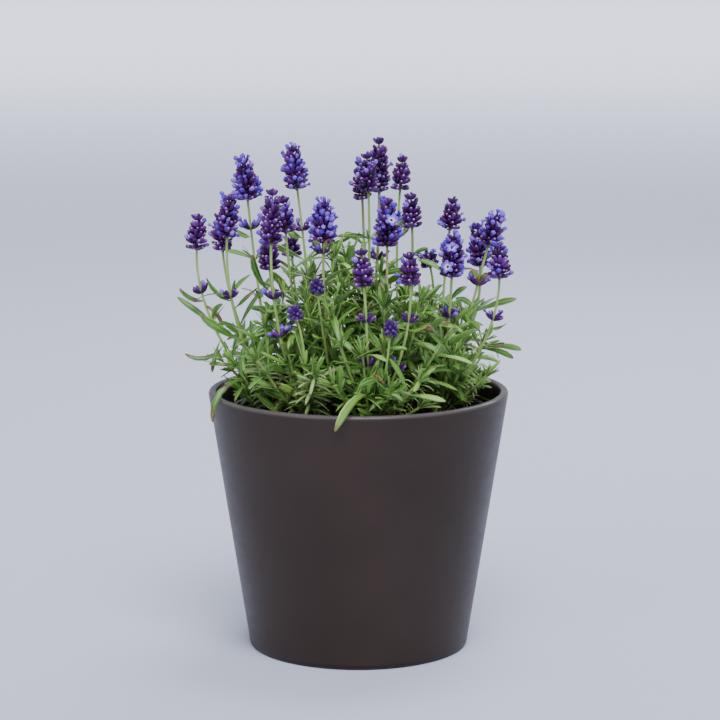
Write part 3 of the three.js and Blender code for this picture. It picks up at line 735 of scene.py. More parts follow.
def stems_tree():
    """Square stems with rounded edges, swept along the edges of a mesh."""
    tree = ShapeTree("Square stems", Thickness=("Float", 1.0), Rounding=("Float", 0.2),
                     Material=("Material", None))
    curves = tree.add("GeometryNodeMeshToCurve", tree.inputs["Geometry"])
    thick = tree.attribute("half") * tree.inputs["Thickness"]
    square = tree.add("GeometryNodeCurvePrimitiveQuadrilateral", 1.12, 1.12)
    rounded = tree.add("GeometryNodeFilletCurve", square, mode="POLY",
                       named={"Count": 2, "Radius": tree.inputs["Rounding"]})
    swept = tree.add("GeometryNodeCurveToMesh", curves, rounded, named={"Scale": thick, "Fill Caps": True})
    return tree.finish(swept)


def crumbs_tree():
    """Crumbs of soil strewn over a surface, with the surface itself."""
    tree = ShapeTree("Crumbs on soil", Crumb=("Object", None), Density=("Float", 1.0),
                     Smallest=("Float", 0.5), Largest=("Float", 1.5), Seed=("Int", 3),
                     Material=("Material", None))
    surface = tree.inputs["Geometry"]
    seed = {"Seed": tree.inputs["Seed"]}
    points = tree.add("GeometryNodeDistributePointsOnFaces", surface, tree.attribute("top"),
                      named={"Density": tree.inputs["Density"], **seed})
    crumb = tree.add("GeometryNodeObjectInfo", tree.inputs["Crumb"], out="Geometry")
    turn = tree.add("FunctionNodeRandomValue", (0, 0, 0), (6.3, 6.3, 6.3), data_type="FLOAT_VECTOR",
                    named=seed)
    size = tree.add("FunctionNodeRandomValue", tree.inputs["Smallest"], tree.inputs["Largest"],
                    data_type="FLOAT", named=seed)
    copies = tree.add("GeometryNodeInstanceOnPoints", points,
                      named={"Instance": crumb, "Rotation": turn, "Scale": size})
    joined = tree.add("GeometryNodeJoinGeometry", copies)
    tree.fill(joined.socket.node.inputs[0], surface)
    return tree.finish(joined)


# Meshes and pieces

def mesh_of(name, points, faces=(), edges=(), **fields):
    mesh = bpy.data.meshes.new(name)
    mesh.from_pydata(np.asarray(points, float).tolist(), list(edges), list(faces))
    for label, values in fields.items():
        values = np.asarray(values)
        flat = values.ndim == 1
        kind = "FLOAT_VECTOR" if not flat else "INT" if values.dtype.kind == "i" else "FLOAT"
        layer = mesh.attributes.new(label, kind, "POINT")
        layer.data.foreach_set("value" if flat else "vector", values.ravel())
    return mesh


def shown(name, mesh):
    thing = bpy.data.objects.new(name, mesh)
    bpy.context.scene.collection.objects.link(thing)
    return thing


def built(name, mesh, tree, **inputs):
    """The plain mesh that a Geometry Nodes tree makes of a mesh, as an object."""
    thing = shown(name, mesh)
    modifier = thing.modifiers.new("Build", "NODES")
    modifier.node_group = tree
    for socket in tree.interface.items_tree:
        if socket.in_out == "INPUT" and socket.name in inputs:
            modifier[socket.identifier] = inputs[socket.name]
    graph = bpy.context.evaluated_depsgraph_get()
    thing.data = bpy.data.meshes.new_from_object(thing.evaluated_get(graph), depsgraph=graph)
    thing.modifiers.clear()
    bpy.data.meshes.remove(mesh)
    for label in ("at", "ahead", "face", "side", "size", "bend", "roll", "spot", "shape", "twist"):
        if label in thing.data.attributes:
            thing.data.attributes.remove(thing.data.attributes[label])
    return thing


def place_piece(piece, slot, *nodes):
    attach(piece, "root")
    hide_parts(*nodes)


class Copies:
    """Points that shapes are set on, each with its directions, size and looks."""

    def __init__(self):
        self.rows = []

    def add(self, at, ahead, face, side, size, bend, **looks):
        row = {"at": np.asarray(at) * MM, "ahead": ahead, "face": face, "side": side,
               "size": np.array(size, float) * MM, "bend": float(bend)}
        self.rows.append({**row, "shape": 0, "roll": 0.0, "tint": 0.5, "pale": 0.0, "dry": 0.0, **looks})

    def build(self, name, shapes, material, seed, **sizes):
        fields = {key: np.array([row[key] for row in self.rows]) for key in self.rows[0]}
        mesh = mesh_of(name, fields["at"], **fields)
        return built(name, mesh, TREES["copies"], Shapes=shapes, Material=material, Seed=seed, **sizes)


# Shapes that are copied. They run from 0 to 1 along X, and are 1 wide.

LONG, SPOON, ROLLED, SMALL = range(4)
CALYX, BUD, FLARED, WIDE, CORE = range(5)


def closed_faces(rings, count):
    """The faces of a closed shape: rings of points, between its first and its last point."""
    around = [(i, (i + 1) % count) for i in range(count)]
    faces = [(0, 1 + b, 1 + a) for a, b in around]
    for start in range(1, (rings - 1) * count, count):
        faces += [(start + a, start + b, start + b + count, start + a + count) for a, b in around]
    start = 1 + (rings - 1) * count
    return faces + [(start + count, start + a, start + b) for a, b in around]


def ringed_shape(name, rings, ends, **fields):
    """A closed shape through rings of points, with a pole at each end."""
    points = [ends[0], *(p for ring in rings for p in ring), ends[1]]
    faces = closed_faces(len(rings), len(rings[0]))
    mesh = mesh_of(name, points, faces, spot=np.array(points, float), **fields)
    return bpy.data.objects.new(name, mesh)


def leaf_shape(name, outline, curl, simple=False):
    """A narrow leaf with a sunken midrib above, a raised one below, and edges rolled down."""
    section = [(-1, -curl), (-0.55, 0.32), (0, 0.02), (0.55, 0.32), (1, -curl),
               (0.6, -0.36), (0, -0.62), (-0.6, -0.36)]
    if simple:
        section = [(-1, -curl), (0, 0.25), (1, -curl), (0, -0.6)]
    rings = [[(u, v * half / 2, w * (0.35 + 0.65 * half)) for v, w in section] for u, half in outline]
    shares = [0, *(u for u, _ in outline for _ in section), 1]
    sides = [0, *(v for _ in outline for v, _ in section), 0]
    under = [0.5, *(float(w < -0.3 and abs(v) < 1) for _ in outline for v, w in section), 0.5]
    return ringed_shape(name, rings, [(0, 0, -0.1), (1, 0, -0.1)], along=np.array(shares, float),
                        across=np.array(sides, float), under=np.array(under))


def tube_shape(name, outline, sides, petal=0.0, ripple=0.0, ripples=5, marks=None):
    """A round shape. `outline` gives its radius along its length, and `ripple` lobes its rim."""
    rings = []
    around = []
    for k, (u, radius, lobed) in enumerate(outline):
        ring = []
        for i in range(sides):
            angle = 2 * math.pi * i / sides
            wave = 1 - ripple * lobed * (1 - abs(math.cos(angle * ripples / 2)))
            ring.append((u, radius * wave * math.cos(angle) / 2, radius * wave * math.sin(angle) / 2))
            around.append(i / sides)
        rings.append(ring)
    marks = marks or [u for u, _, _ in outline]
    shares = [marks[0], *(m for m in marks for _ in range(sides)), marks[-1]]
    ends = [(outline[0][0] - 0.02, 0, 0), (outline[-1][0] + (0.03 if petal < 2 else 0), 0, 0)]
    return ringed_shape(name, rings, ends, along=np.array(shares, float),
                        around=np.array([0, *around, 0], float),
                        petal=np.full(len(shares), min(petal, 1.0)))


def shape_set(name, *shapes):
    group = bpy.data.collections.new(name)
    for shape in shapes:
        group.objects.link(shape)
    return group


def leaf_shapes():
    long_leaf = [(0.04, 0.3), (0.15, 0.62), (0.32, 0.94), (0.52, 1.06), (0.72, 1.0), (0.88, 0.72),
                 (0.97, 0.34)]
    spoon_leaf = [(0.04, 0.22), (0.18, 0.44), (0.36, 0.76), (0.56, 1.02), (0.74, 1.08), (0.9, 0.76),
                  (0.98, 0.34)]
    small_leaf = [(0.08, 0.4), (0.3, 0.85), (0.6, 1.0), (0.87, 0.7)]
    return shape_set("leaf_shapes", leaf_shape("leaf_0_long", long_leaf, 0.25),
                     leaf_shape("leaf_1_spoon", spoon_leaf, 0.1), leaf_shape("leaf_2_rolled", long_leaf, 1.1),
                     leaf_shape("leaf_3_small", small_leaf, 0.5, simple=True))


def flower_shapes():
    calyx = [(0.0, 0.4, 0), (0.08, 0.68, 0), (0.26, 0.94, 0), (0.52, 1.0, 0), (0.78, 0.9, 0),
             (0.93, 0.66, 0), (1.0, 0.3, 0)]
    bud = [(0.0, 0.7, 0), (0.16, 0.84, 0.2), (0.4, 1.0, 0.7), (0.66, 1.0, 1), (0.88, 0.76, 1),
           (1.0, 0.36, 0.6)]
    flared = [(0.0, 0.34, 0), (0.35, 0.42, 0), (0.62, 0.66, 0.5), (0.86, 0.96, 1), (1.0, 1.0, 1),
              (0.94, 0.8, 1), (0.72, 0.36, 0.3)]
    wide = [(0.0, 0.16, 0), (0.4, 0.22, 0), (0.6, 0.42, 0.3), (0.74, 0.78, 0.8), (0.8, 1.0, 1.0),
            (0.86, 0.97, 1.0), (0.82, 0.62, 0.6), (0.74, 0.28, 0.1), (0.6, 0.14, 0)]
    return shape_set(
        "flower_shapes",
        tube_shape("flower_0_calyx", calyx, 8),
        tube_shape("flower_1_bud", bud, 8, petal=1.0, ripple=0.34, ripples=4),
        tube_shape("flower_2_flared", flared, 10, petal=1.0, ripple=0.42, ripples=5),
        tube_shape("flower_3_wide", wide, 20, petal=2.0, ripple=0.44, ripples=5,
                   marks=[0, 0.1, 0.2, 0.35, 0.45, 0.5, 0.65, 0.85, 1.0]),
        tube_shape("flower_4_core", [(0.0, 0.9, 0), (0.5, 0.85, 0), (1.0, 0.5, 0)], 6))


# Materials

class Skin(Graph):
    """The node tree of a material."""

    def __init__(self, name, **settings):
        self.material = bpy.data.materials.new(name)
        self.material.use_nodes = True
        super().__init__(self.material.node_tree)
        self.set(**settings)

    def set(self, **values):
        """Fills the shader's inputs, and gives back the material."""
        shader = self.tree.nodes["Principled BSDF"]
        for label, value in values.items():
            self.fill(shader.inputs[label.replace("_", " ")], value)
        return self.material

    def field(self, name):
        return self.add("ShaderNodeAttribute", attribute_name=name, out="Fac")

    def ramp(self, value, *stops):
        """Colours, or shades of grey where a stop has one number."""
        wire = self.add("ShaderNodeValToRGB", value)
        marks = wire.socket.node.color_ramp.elements
        while len(marks) < len(stops):
            marks.new(0.5)
        for mark, (position, colour) in zip(marks, stops):
            mark.position = position
            mark.color = (*(colour if isinstance(colour, tuple) else [colour] * 3), 1)
        return wire

    def blend(self, share, a, b):
        return self.add("ShaderNodeMix", share, a, b, data_type="RGBA")

    def noise(self, scale, detail=2.0, stretch=None):
        where = self.add("ShaderNodeTexCoord", out="Object")
        if stretch:
            where = self.add("ShaderNodeMapping", where, named={"Scale": stretch})
        return self.add("ShaderNodeTexNoise", named={"Vector": where, "Scale": scale, "Detail": detail})

    def bump(self, height, strength, distance):
        return self.add("ShaderNodeBump",
                        named={"Height": height, "Strength": strength, "Distance": distance})


def leaf_material():
    g = Skin("lavender_leaf", Roughness=0.36, Specular_IOR_Level=0.6, Subsurface_Weight=0.1,
             Subsurface_Radius=(0.002, 0.003, 0.001), Subsurface_Scale=0.4)
    green = g.ramp(g.field("tint"), (0.0, (0.01, 0.05, 0.004)), (0.3, (0.031, 0.126, 0.01)),
                   (0.65, (0.11, 0.29, 0.026)), (1.0, (0.34, 0.58, 0.1)))
    mottled = g.blend(g.ramp(g.noise(900), (0.4, 0.0), (0.8, 0.3)), green, (0.15, 0.31, 0.04))
    side = g.math("ABSOLUTE", g.field("across"))
    # Paler midrib and margins: partly the leaf's own paler rib and edges, partly a painted highlight on the
    # edges.
    rib_and_edge_highlight = g.ramp(side, (0.0, 0.6), (0.2, 0.0), (0.65, 0.0), (0.95, 0.8))
    ribbed = g.blend(rib_and_edge_highlight, mottled, (0.36, 0.6, 0.14))
    silvery = g.blend(g.field("under") * 0.6, ribbed, (0.24, 0.42, 0.13))
    young = g.blend(g.field("pale"), silvery, (0.37, 0.51, 0.19))
    dry = g.field("dry")
    yellowed = g.blend(g.ramp(dry, (0.8, 0.0), (0.88, 0.75)), young, (0.32, 0.28, 0.045))
    tip = g.ramp(g.field("along"), (0.84, 0.0), (0.95, 1.0)) * (dry * 2.2)
    brown = g.ramp(g.noise(400), (0.35, (0.05, 0.02, 0.012)), (0.62, (0.26, 0.15, 0.07)))
    scorched = g.ramp(g.noise(260) + dry * 0.42, (0.82, 0.0), (0.9, 0.85))
    colour = g.blend(g.math("MAXIMUM", g.math("MINIMUM", tip, 1.0), scorched), yellowed, brown)
    veins = g.add("ShaderNodeTexWave", named={
        "Vector": g.add("ShaderNodeCombineXYZ", g.field("along"), side), "Scale": 9.0,
        "Distortion": 2.0}, out=1)
    fuzz = g.noise(2500, 3.0) * 0.5 + veins * 0.3
    return g.set(Base_Color=colour, Normal=g.bump(fuzz, 0.35, 0.0003))


def stem_material():
    g = Skin("lavender_stem", Roughness=0.45, Sheen_Weight=0.1, Subsurface_Weight=0.08,
             Subsurface_Radius=(0.002, 0.003, 0.001), Subsurface_Scale=0.4)
    streaks = g.noise(700, 3.0, stretch=(1, 1, 0.08))
    green = g.ramp(streaks, (0.3, (0.19, 0.33, 0.06)), (0.7, (0.36, 0.52, 0.14)))
    wood = g.ramp(streaks, (0.3, (0.2, 0.12, 0.07)), (0.7, (0.5, 0.35, 0.22)))
    colour = g.blend(g.field("dry"), green, wood)
    return g.set(Base_Color=colour, Normal=g.bump(streaks, 0.4, 0.0003))


def flower_material():
    g = Skin("lavender_flower", Roughness=0.38, Specular_IOR_Level=0.35, Subsurface_Weight=0.08,
             Subsurface_Radius=(0.002, 0.001, 0.003), Subsurface_Scale=0.4)
    tint, along = g.field("tint"), g.field("along")
    violet = g.ramp(tint, (0.0, (0.018, 0.0016, 0.045)), (0.4, (0.06, 0.0045, 0.096)),
                    (0.75, (0.122, 0.012, 0.165)), (1.0, (0.2, 0.05, 0.37)))
    ribs = g.math("SINE", g.field("around") * (2 * math.pi * 8))
    ribbed = g.blend(g.ramp(ribs, (0.45, 0.0), (1.0, 0.3)), violet, (0.2, 0.05, 0.4))
    # Some calyx mouths get a pale dot: partly pale hairs, partly a painted highlight.
    pale_hairs_and_glint = g.ramp(along, (0.94, 0.0), (1.0, 1.0)) * g.ramp(tint, (0.45, 0.1), (0.6, 0.9))
    mouth = g.blend(pale_hairs_and_glint, ribbed, (0.62, 0.42, 0.72))
    foot = g.blend(g.ramp(along, (0.0, 0.6), (0.22, 0.0)), mouth, (0.13, 0.09, 0.07))
    budding = g.blend(g.field("pale"), foot, (0.045, 0.01, 0.16))
    lilac = g.ramp(tint, (0.0, (0.085, 0.03, 0.42)), (0.5, (0.2, 0.085, 0.72)),
                   (1.0, (0.43, 0.24, 1.0)))
    folds = g.blend(g.ramp(g.noise(1200), (0.42, 0.0), (0.75, 0.7)), lilac, (0.075, 0.03, 0.42))
    throat = g.blend(g.ramp(along, (0.64, 0.0), (0.76, 0.35), (0.86, 1.0), (0.95, 0.2)), folds,
                     (0.86, 0.86, 0.97))
    # The open flower's centre, where its tube goes in, is painted near black: painted shade.
    painted_tube_shade = g.blend(g.ramp(along, (0.9, 0.0), (0.97, 1.0)), throat, (0.05, 0.015, 0.04))
    petal = g.blend(g.field("wide"), folds, painted_tube_shade)
    bloomed = g.blend(g.field("petal"), budding, petal)
    colour = g.blend(g.field("dry"), bloomed, (0.16, 0.17, 0.06))
    height = ribs * 0.5 + g.noise(2500, 3.0)
    return g.set(Base_Color=colour, Normal=g.bump(height, 0.35, 0.0003))


def pot_material():
    g = Skin("dark_satin_glaze", Specular_IOR_Level=0.2)
    cloud = g.noise(18, 4.0)
    glaze = g.ramp(cloud, (0.3, (0.03, 0.0195, 0.0155)), (0.7, (0.039, 0.0255, 0.0205)))
    up = g.add("ShaderNodeSeparateXYZ", g.add("ShaderNodeTexCoord", out="Object"), out="Z")
    # Near its top the rim is painted lighter, a painted highlight along the rim, and it is smoother there
    # too.
    rim = g.ramp(up / (POT["height"] * MM), (0.986, 0.0), (0.996, 1.0))
    colour = g.blend(rim * 0.5, glaze, (0.16, 0.145, 0.15))
    speck = g.noise(1600, 2.0)
    scuffs = g.noise(90, 6.0, stretch=(1, 1, 3))
    wear = cloud * 0.5 + scuffs * 0.5
    rough = g.blend(rim, g.ramp(wear, (0.3, 0.34), (0.7, 0.46)), (0.2, 0.2, 0.2))
    return g.set(Base_Color=colour, Roughness=rough, Normal=g.bump(speck, 0.06, 0.0002))


def growing_pot_material():
    g = Skin("black_pot_plastic", Specular_IOR_Level=0.5)
    grain = g.noise(1500, 2.0)
    dust = g.noise(60, 5.0)
    dusty = g.ramp(dust, (0.45, 0.0), (0.8, 0.3))
    colour = g.blend(dusty, (0.012, 0.012, 0.013), (0.06, 0.045, 0.035))
    return g.set(Base_Color=colour, Roughness=g.ramp(dust, (0.3, 0.38), (0.7, 0.62)),
                 Normal=g.bump(grain, 0.1, 0.0002))


def soil_material():
    g = Skin("moist_soil", Roughness=0.95, Specular_IOR_Level=0.2)
    fine = g.noise(900, 5.0)
    colour = g.ramp(fine, (0.3, (0.012, 0.007, 0.004)), (0.55, (0.035, 0.021, 0.012)),
                    (0.8, (0.085, 0.055, 0.032)))
    return g.set(Base_Color=colour, Normal=g.bump(fine, 0.8, 0.001))


def floor_material():
    g = Skin("pale_floor", Roughness=0.7, Specular_IOR_Level=0.2, Base_Color=(0.58, 0.61, 0.75))
    return g.set()


# Pots and soil

def turned(name, profile, turns=TURNS, wobble=None):
    """A closed profile of radius and height, turned round the vertical axis."""
    rings = []
    for radius, z in profile[1:-1]:
        angles = 2 * math.pi * np.arange(turns) / turns
        ring = np.stack([radius * np.cos(angles), radius * np.sin(angles), np.full(turns, float(z))], 1)
        rings.append(ring if wobble is None else wobble(ring))
    ends = [(0, 0, profile[0][1]), (0, 0, profile[-1][1])]
    points = np.vstack([[ends[0]], *rings, [ends[1]]]) * MM
    mesh = mesh_of(name, points, closed_faces(len(rings), turns))
    mesh.polygons.foreach_set("use_smooth", [True] * len(mesh.polygons))
    return mesh


def arc(centre, radius, start, end, steps):
    angles = np.radians(np.linspace(start, end, steps))
    return [(centre[0] + radius * math.cos(a), centre[1] + radius * math.sin(a)) for a in angles]


def straight(a, b, steps):
    """Points along a line, with two close to its ends so that it is shaded straight."""
    shares = [0, 0.01, *np.linspace(0, 1, steps)[1:-1], 0.99, 1]
    return [tuple(np.array(a) + (np.array(b) - a) * t) for t in shares]


def make_pot():
    height, top, rim = POT["height"], POT["top"], POT["round"]
    inner = top - POT["wall"]
    floor = POT["floor"]
    outside = straight((POT["foot"] + 0.2, 1.6), (top, height - rim), 12)
    lip = arc((top - rim, height - rim), rim, 4, 90, 6)
    inner_lip = arc((inner + 0.9, height - 0.9), 0.9, 90, 176, 5)
    inside = straight((inner - 0.3, height - rim), (pot_outer(floor + 4) - POT["wall"], floor + 4), 10)
    cove = arc((pot_outer(floor + 4) - POT["wall"] - 4, floor + 4), 4, -10, -90, 5)
    foot = [(0, 0), (20, 0), (40, 0), *arc((POT["foot"] - 1.6, 1.8), 1.8, -90, -6, 5)]
    profile = [*foot, *outside, *lip, *inner_lip, *inside, *cove, (20, floor), (0, floor)]
    pot = shown("pot_glazed", turned("pot_glazed", profile))
    pot.data.materials.append(pot_material())
    place_piece(pot, "pot", "pot")


def make_growing_pot():
    base, wall, top = GROWING_POT["base"], GROWING_POT["wall"], GROWING_POT_TOP
    drop = top - GROWING_POT["lip_drop"]
    lip = GROWING_POT_LIP
    profile = [
        (0, base), (20, base), (growing_pot_radius(base) - 1, base), (growing_pot_radius(base), base + 1),
        *straight((growing_pot_radius(base + 3), base + 3), (growing_pot_radius(drop), drop), 8),
        (lip - 0.4, drop), (lip, drop + 0.4), (lip, top - 0.5), (lip - 0.5, top),
        (growing_pot_inside(top) + 0.3, top), (growing_pot_inside(top), top - 0.4),
        *straight((growing_pot_inside(top - 3), top - 3), (growing_pot_inside(base + wall), base + wall), 8),
        (20, base + wall), (0, base + wall),
    ]
    pot = shown("growing_pot_plastic", turned("growing_pot_plastic", profile, 96))
    for i in range(DRAIN["count"]):
        angle = 2 * math.pi * i / DRAIN["count"]
        bpy.ops.mesh.primitive_cylinder_add(
            vertices=24, radius=DRAIN["radius"] * MM, depth=(wall + 2) * MM,
            location=(DRAIN["ring"] * math.cos(angle) * MM, DRAIN["ring"] * math.sin(angle) * MM,
                      (base + wall / 2) * MM))
        plug = bpy.context.object
        cut = pot.modifiers.new("Hole", "BOOLEAN")
        cut.object = plug
        cut.operation = "DIFFERENCE"
        bpy.context.view_layer.objects.active = pot
        bpy.ops.object.modifier_apply(modifier="Hole")
        bpy.data.objects.remove(plug)
    pot.data.materials.clear()
    pot.data.materials.append(growing_pot_material())
    place_piece(pot, "growing_pot", "growing_pot")


def make_soil():
    def side(z):
        return growing_pot_inside(z) - SOIL["side_gap"]

    def heave(ring):
        x, y, z = ring.T
        swell = (np.sin(x * 0.31 + 1.3) * np.sin(y * 0.27 + 0.4) + 0.6 * np.sin(x * 0.9) * np.sin(y * 0.8 + 2)
                 + 0.4 * np.sin(x * 1.9 + y * 1.4))
        inner = np.clip((side(SOIL["top"]) - np.hypot(x, y)) / 4, 0, 1)
        lifted = z + 0.55 * swell * inner * (z > SOIL["top"] - 1)
        return np.stack([x, y, lifted], 1)

    top = SOIL["top"]
    profile = [(0, SOIL["bottom"]), (30, SOIL["bottom"]), (side(SOIL["bottom"]), SOIL["bottom"]),
               (side(60), 60), (side(top - 2), top - 2), (side(top) - 1, top - 0.6),
               *[(r, top + SOIL["crown"] * (1 - r / side(top))) for r in np.arange(60, 0, -2)],
               (0, top + SOIL["crown"])]
    mesh = turned("soil_crumbly", profile, 120, heave)
    high = np.array([v.co.z > (top - 1.5) * MM for v in mesh.vertices], float)
    mesh.attributes.new("top", "FLOAT", "POINT").data.foreach_set("value", high)
    bpy.ops.mesh.primitive_ico_sphere_add(subdivisions=1, radius=1)
    crumb = bpy.context.object
    draw = Draws(CRUMB_SEED)
    for vertex in crumb.data.vertices:
        vertex.co *= draw(*CRUMBS["play"])
    smallest, largest = CRUMBS["size"]
    soil = built("soil_crumbly", mesh, TREES["crumbs"], Crumb=crumb, Density=CRUMBS["per_m2"],
                 Smallest=smallest * MM, Largest=largest * MM, Seed=CRUMBS["seed"], Material=soil_material())
    bpy.data.objects.remove(crumb)
    place_piece(soil, "soil", "soil")


# Plants

def fill_shoots(beads, plants, draw):
    """More leafy shoots between those of the solid model."""
    shoots = {plant.owner: [] for plant in plants}
    for i in range(FILL_SHOOT["count"]):
        tip = spread_tip(draw, i, FILL_SHOOT)
        plant = nearest_plant(plants, tip)
        stem = shoot_stem(plant.foot, tip, draw)
        at, radius = shoot_beads(stem, FILL_SHOOT["skip"])
        if beads.is_free(at, radius, plant.owner, 0, FILL_SHOOT["gap"], FILL_SHOOT["own_gap"]):
            shoots[plant.owner].append(stem)
    return shoots


def may_fill(at):
    """Whether a leaf along these points keeps off the pot's rim and the pale shoots."""
    over_rim = math.hypot(*at[-1][:2]) > POT["top"] and at[-1][2] < POT["height"] + 15
    by_pale = any(math.hypot(x - tip[0], y - tip[1]) < PALE_ROOM and z < tip[2]
                  for x, y, z in at for _, tip in PALE_SHOOTS)
    return not over_rim and not by_pale


class Greenery:
    """The leaves of one plant: those of the solid model, and more where there is room."""

    def __init__(self, beads, draw, owner):
        self.beads = beads
        self.draw = draw
        self.owner = owner
        self.copies = Copies()

    def add(self, blade, shape, depth=PLAIN, tint=0.5, pale=0.0, **looks):
        tint = min(1.0, max(0.0, tint + self.draw(-TINT_SPREAD, TINT_SPREAD)))
        roll = blade.roll or self.draw(-ROLL_SPREAD, ROLL_SPREAD) * (PALE_ROLL if pale > 0.5 else 1)
        self.copies.add(blade.at, blade.ahead, blade.face, blade.side, (blade.length, blade.width, depth),
                        blade.bend, shape=shape, roll=roll, tint=tint, pale=pale, **looks)

    def has_room(self, blade):
        at, radius = blade.trail()
        return self.beads.is_free(at, radius, self.owner, len(at), CROWD_GAP, CROWD_GAP)

    def tuft(self, place, azimuth, kind, tint):
        """One small leaf in the angle between a leaf and its stem."""
        blade = blade_at(place, azimuth, **wanted_leaf(self.draw, kind))
        if self.has_room(blade):
            self.add(blade, SMALL, THIN, tint, pale=self.draw(0, 0.2))

    def dress_stem(self, stem, share):
        """Small leaves beside each pair of leaves on a stem."""
        for distance, turn in stem.nodes:
            place = stem.place_below(distance)
            for facing in (0, math.pi):
                for lean in TUFTS["leans"]:
                    if self.draw(0, 1) < share:
                        azimuth = turn + facing + lean + self.draw(-0.3, 0.3)
                        self.tuft(place, azimuth, TUFT_LEAF, 0.45)

    def tip_tuft(self, stem):
        place = stem.place_below(0.5)
        for i in range(TUFTS["tip"]):
            self.tuft(place, i * TUFTS["tip_turn"] + self.draw(-0.2, 0.2), TIP_LEAF, 0.6)

    def fill_leaves(self, stem):
        turn = self.draw(0, math.pi)
        down = 1.5
        while down < stem.length * 0.8:
            place = stem.place_below(down)
            for facing in (0, math.pi):
                azimuth = turn + facing + self.draw(-0.3, 0.3)
                blade = blade_at(place, azimuth, **wanted_leaf(self.draw, FILL_LEAF))
                if may_fill(blade.trail()[0]) and self.has_room(blade):
                    tint = 0.08 + 0.56 * (1 - down / stem.length)
                    self.add(blade, self.any_shape(), tint=tint, dry=max(0.0, self.draw(-1.4, 0.92)))
            stem.nodes.append((down, turn))
            turn += math.pi / 2
            down += FILL_SHOOT["step"]

    def pale_leaves(self, stem):
        """Many narrow pale leaves to both sides, upright at the shoot's tip and bent down below it."""
        down = 0.8
        while down < stem.length * 0.75:
            place = stem.place_below(down)
            grown = min(1, 0.35 + down / 14)
            for facing in (0, math.pi):
                wanted = wanted_leaf(self.draw, SLIM_LEAF)
                wanted["length"] *= 0.5 + grown / 2
                wanted["spread"] *= grown
                blade = blade_at(place, place.rightward() + facing + self.draw(-0.7, 0.7), **wanted)
                if self.has_room(blade):
                    self.add(blade, SMALL, THIN, 0.9, 0.85, dry=max(0.0, self.draw(-0.9, 0.5)))
            down += PALE_STEP

    def cup_leaves(self, place):
        """Two broad leaves that hold a ring of flowers."""
        right = place.rightward()
        for facing in (right - 0.9, right + math.pi + 0.5):
            blade = blade_at(place, facing, self.draw(*CUP["length"]), self.draw(*CUP["width"]),
                             CUP["spread"], CUP["droop"])
            blade.roll = self.draw(*CUP["roll"])
            self.add(blade, SPOON, THICK, 0.3, dry=0.83)

    def any_shape(self):
        return int(self.draw(LONG, ROLLED + 0.99))


def stem_lines(stem_list):
    """Points and edges down each stem, thicker at the leaves and woody near the soil."""
    points, edges, half, dry = [], [], [], []
    reach = KNOT["reach"]
    for stem, tip, foot, brown in stem_list:
        marks = {round(d, 2) for d in np.linspace(0, stem.length, max(8, int(stem.length / 4)))}
        for distance, _ in stem.nodes:
            marks |= {round(min(max(distance + step, 0), stem.length), 2) for step in (-reach, 0, reach)}
        start = len(points)
        for distance in sorted(marks):
            at = stem.place_below(distance).at
            knot = any(abs(distance - d) < KNOT["half"] for d, _ in stem.nodes)
            points.append(at * MM)
            plain = tip + (foot - tip) * distance / stem.length
            half.append(plain * (KNOT["swell"] if knot else 1.0) * MM)
            wood = min(1.0, max(0.0, (SOIL["top"] + 16 - at[2]) / 12))
            dry.append(max(brown * (0.75 if distance > 4 else 0.3), wood))
        edges += [(i, i + 1) for i in range(start, len(points) - 1)]
    return points, edges, half, dry


# How the leaves that stand out look: tint, and how brown the tip is
LOOKS = {
    "rim": {"tint": 0.72, "dry": 0.35},
    "green": {"tint": 0.5, "dry": 0.3},
    "brown": {"tint": 0.3, "dry": 0.75},
    "yellow": {"tint": 0.6, "dry": 0.95},
    "bract": {"tint": 0.45, "dry": 0.5},
    "pale": {"tint": 0.85, "dry": 0.35, "pale": 0.75},
}


def make_green(plant, beads, draw, extra, pale, shapes, leaf, stalk):
    green = Greenery(beads, draw, plant.owner)
    for blade in plant.blades:
        look = LOOKS.get(blade.look) or {"tint": 0.5, "dry": max(0.0, draw(-0.8, 0.84))}
        shape = SPOON if blade.width > SPOON_WIDTH else green.any_shape()
        green.add(blade, ROLLED if blade.look == "pale" else shape, THICK, **look)
    for stem in pale:
        green.pale_leaves(stem)
    for stem in extra:
        green.fill_leaves(stem)
    for flower, stem in zip(plant.flowers, plant.stems):
        green.dress_stem(stem, TUFTS["flower"])
        for distance in flower.rings[:1] if flower.cup else ():
            green.cup_leaves(stem.place_below(distance + 1))
    for stem in plant.shoots + extra:
        green.dress_stem(stem, TUFTS["shoot"])
        green.tip_tuft(stem)
    leaves = green.copies.build(f"{plant.name}_leaves", shapes, leaf, plant.owner + 1, Twist=LEAF_TWIST)
    place_piece(leaves, "foliage", plant.name)

    lines = [(s, STEM["tip"] * (YOUNG_STEM if f.young else 1), STEM["foot"], f.dry)
             for s, f in zip(plant.stems, plant.flowers)]
    lines += [(s, SHOOT["tip"], STEM["foot"], 0.0) for s in plant.shoots + extra + pale]
    foot = Stem(*((*plant.foot, SOIL["top"] + rise) for rise in WOODY_FOOT["rises"]), 0)
    lines.append((foot, WOODY_FOOT["top"], WOODY_FOOT["foot"], 1.0))
    points, edges, half, dry = stem_lines(lines)
    mesh = mesh_of(f"{plant.name}_stems", points, edges=edges, half=np.array(half), dry=np.array(dry))
    stems = built(f"{plant.name}_stems", mesh, TREES["stems"], Material=stalk)
    place_piece(stems, "foliage", plant.name)


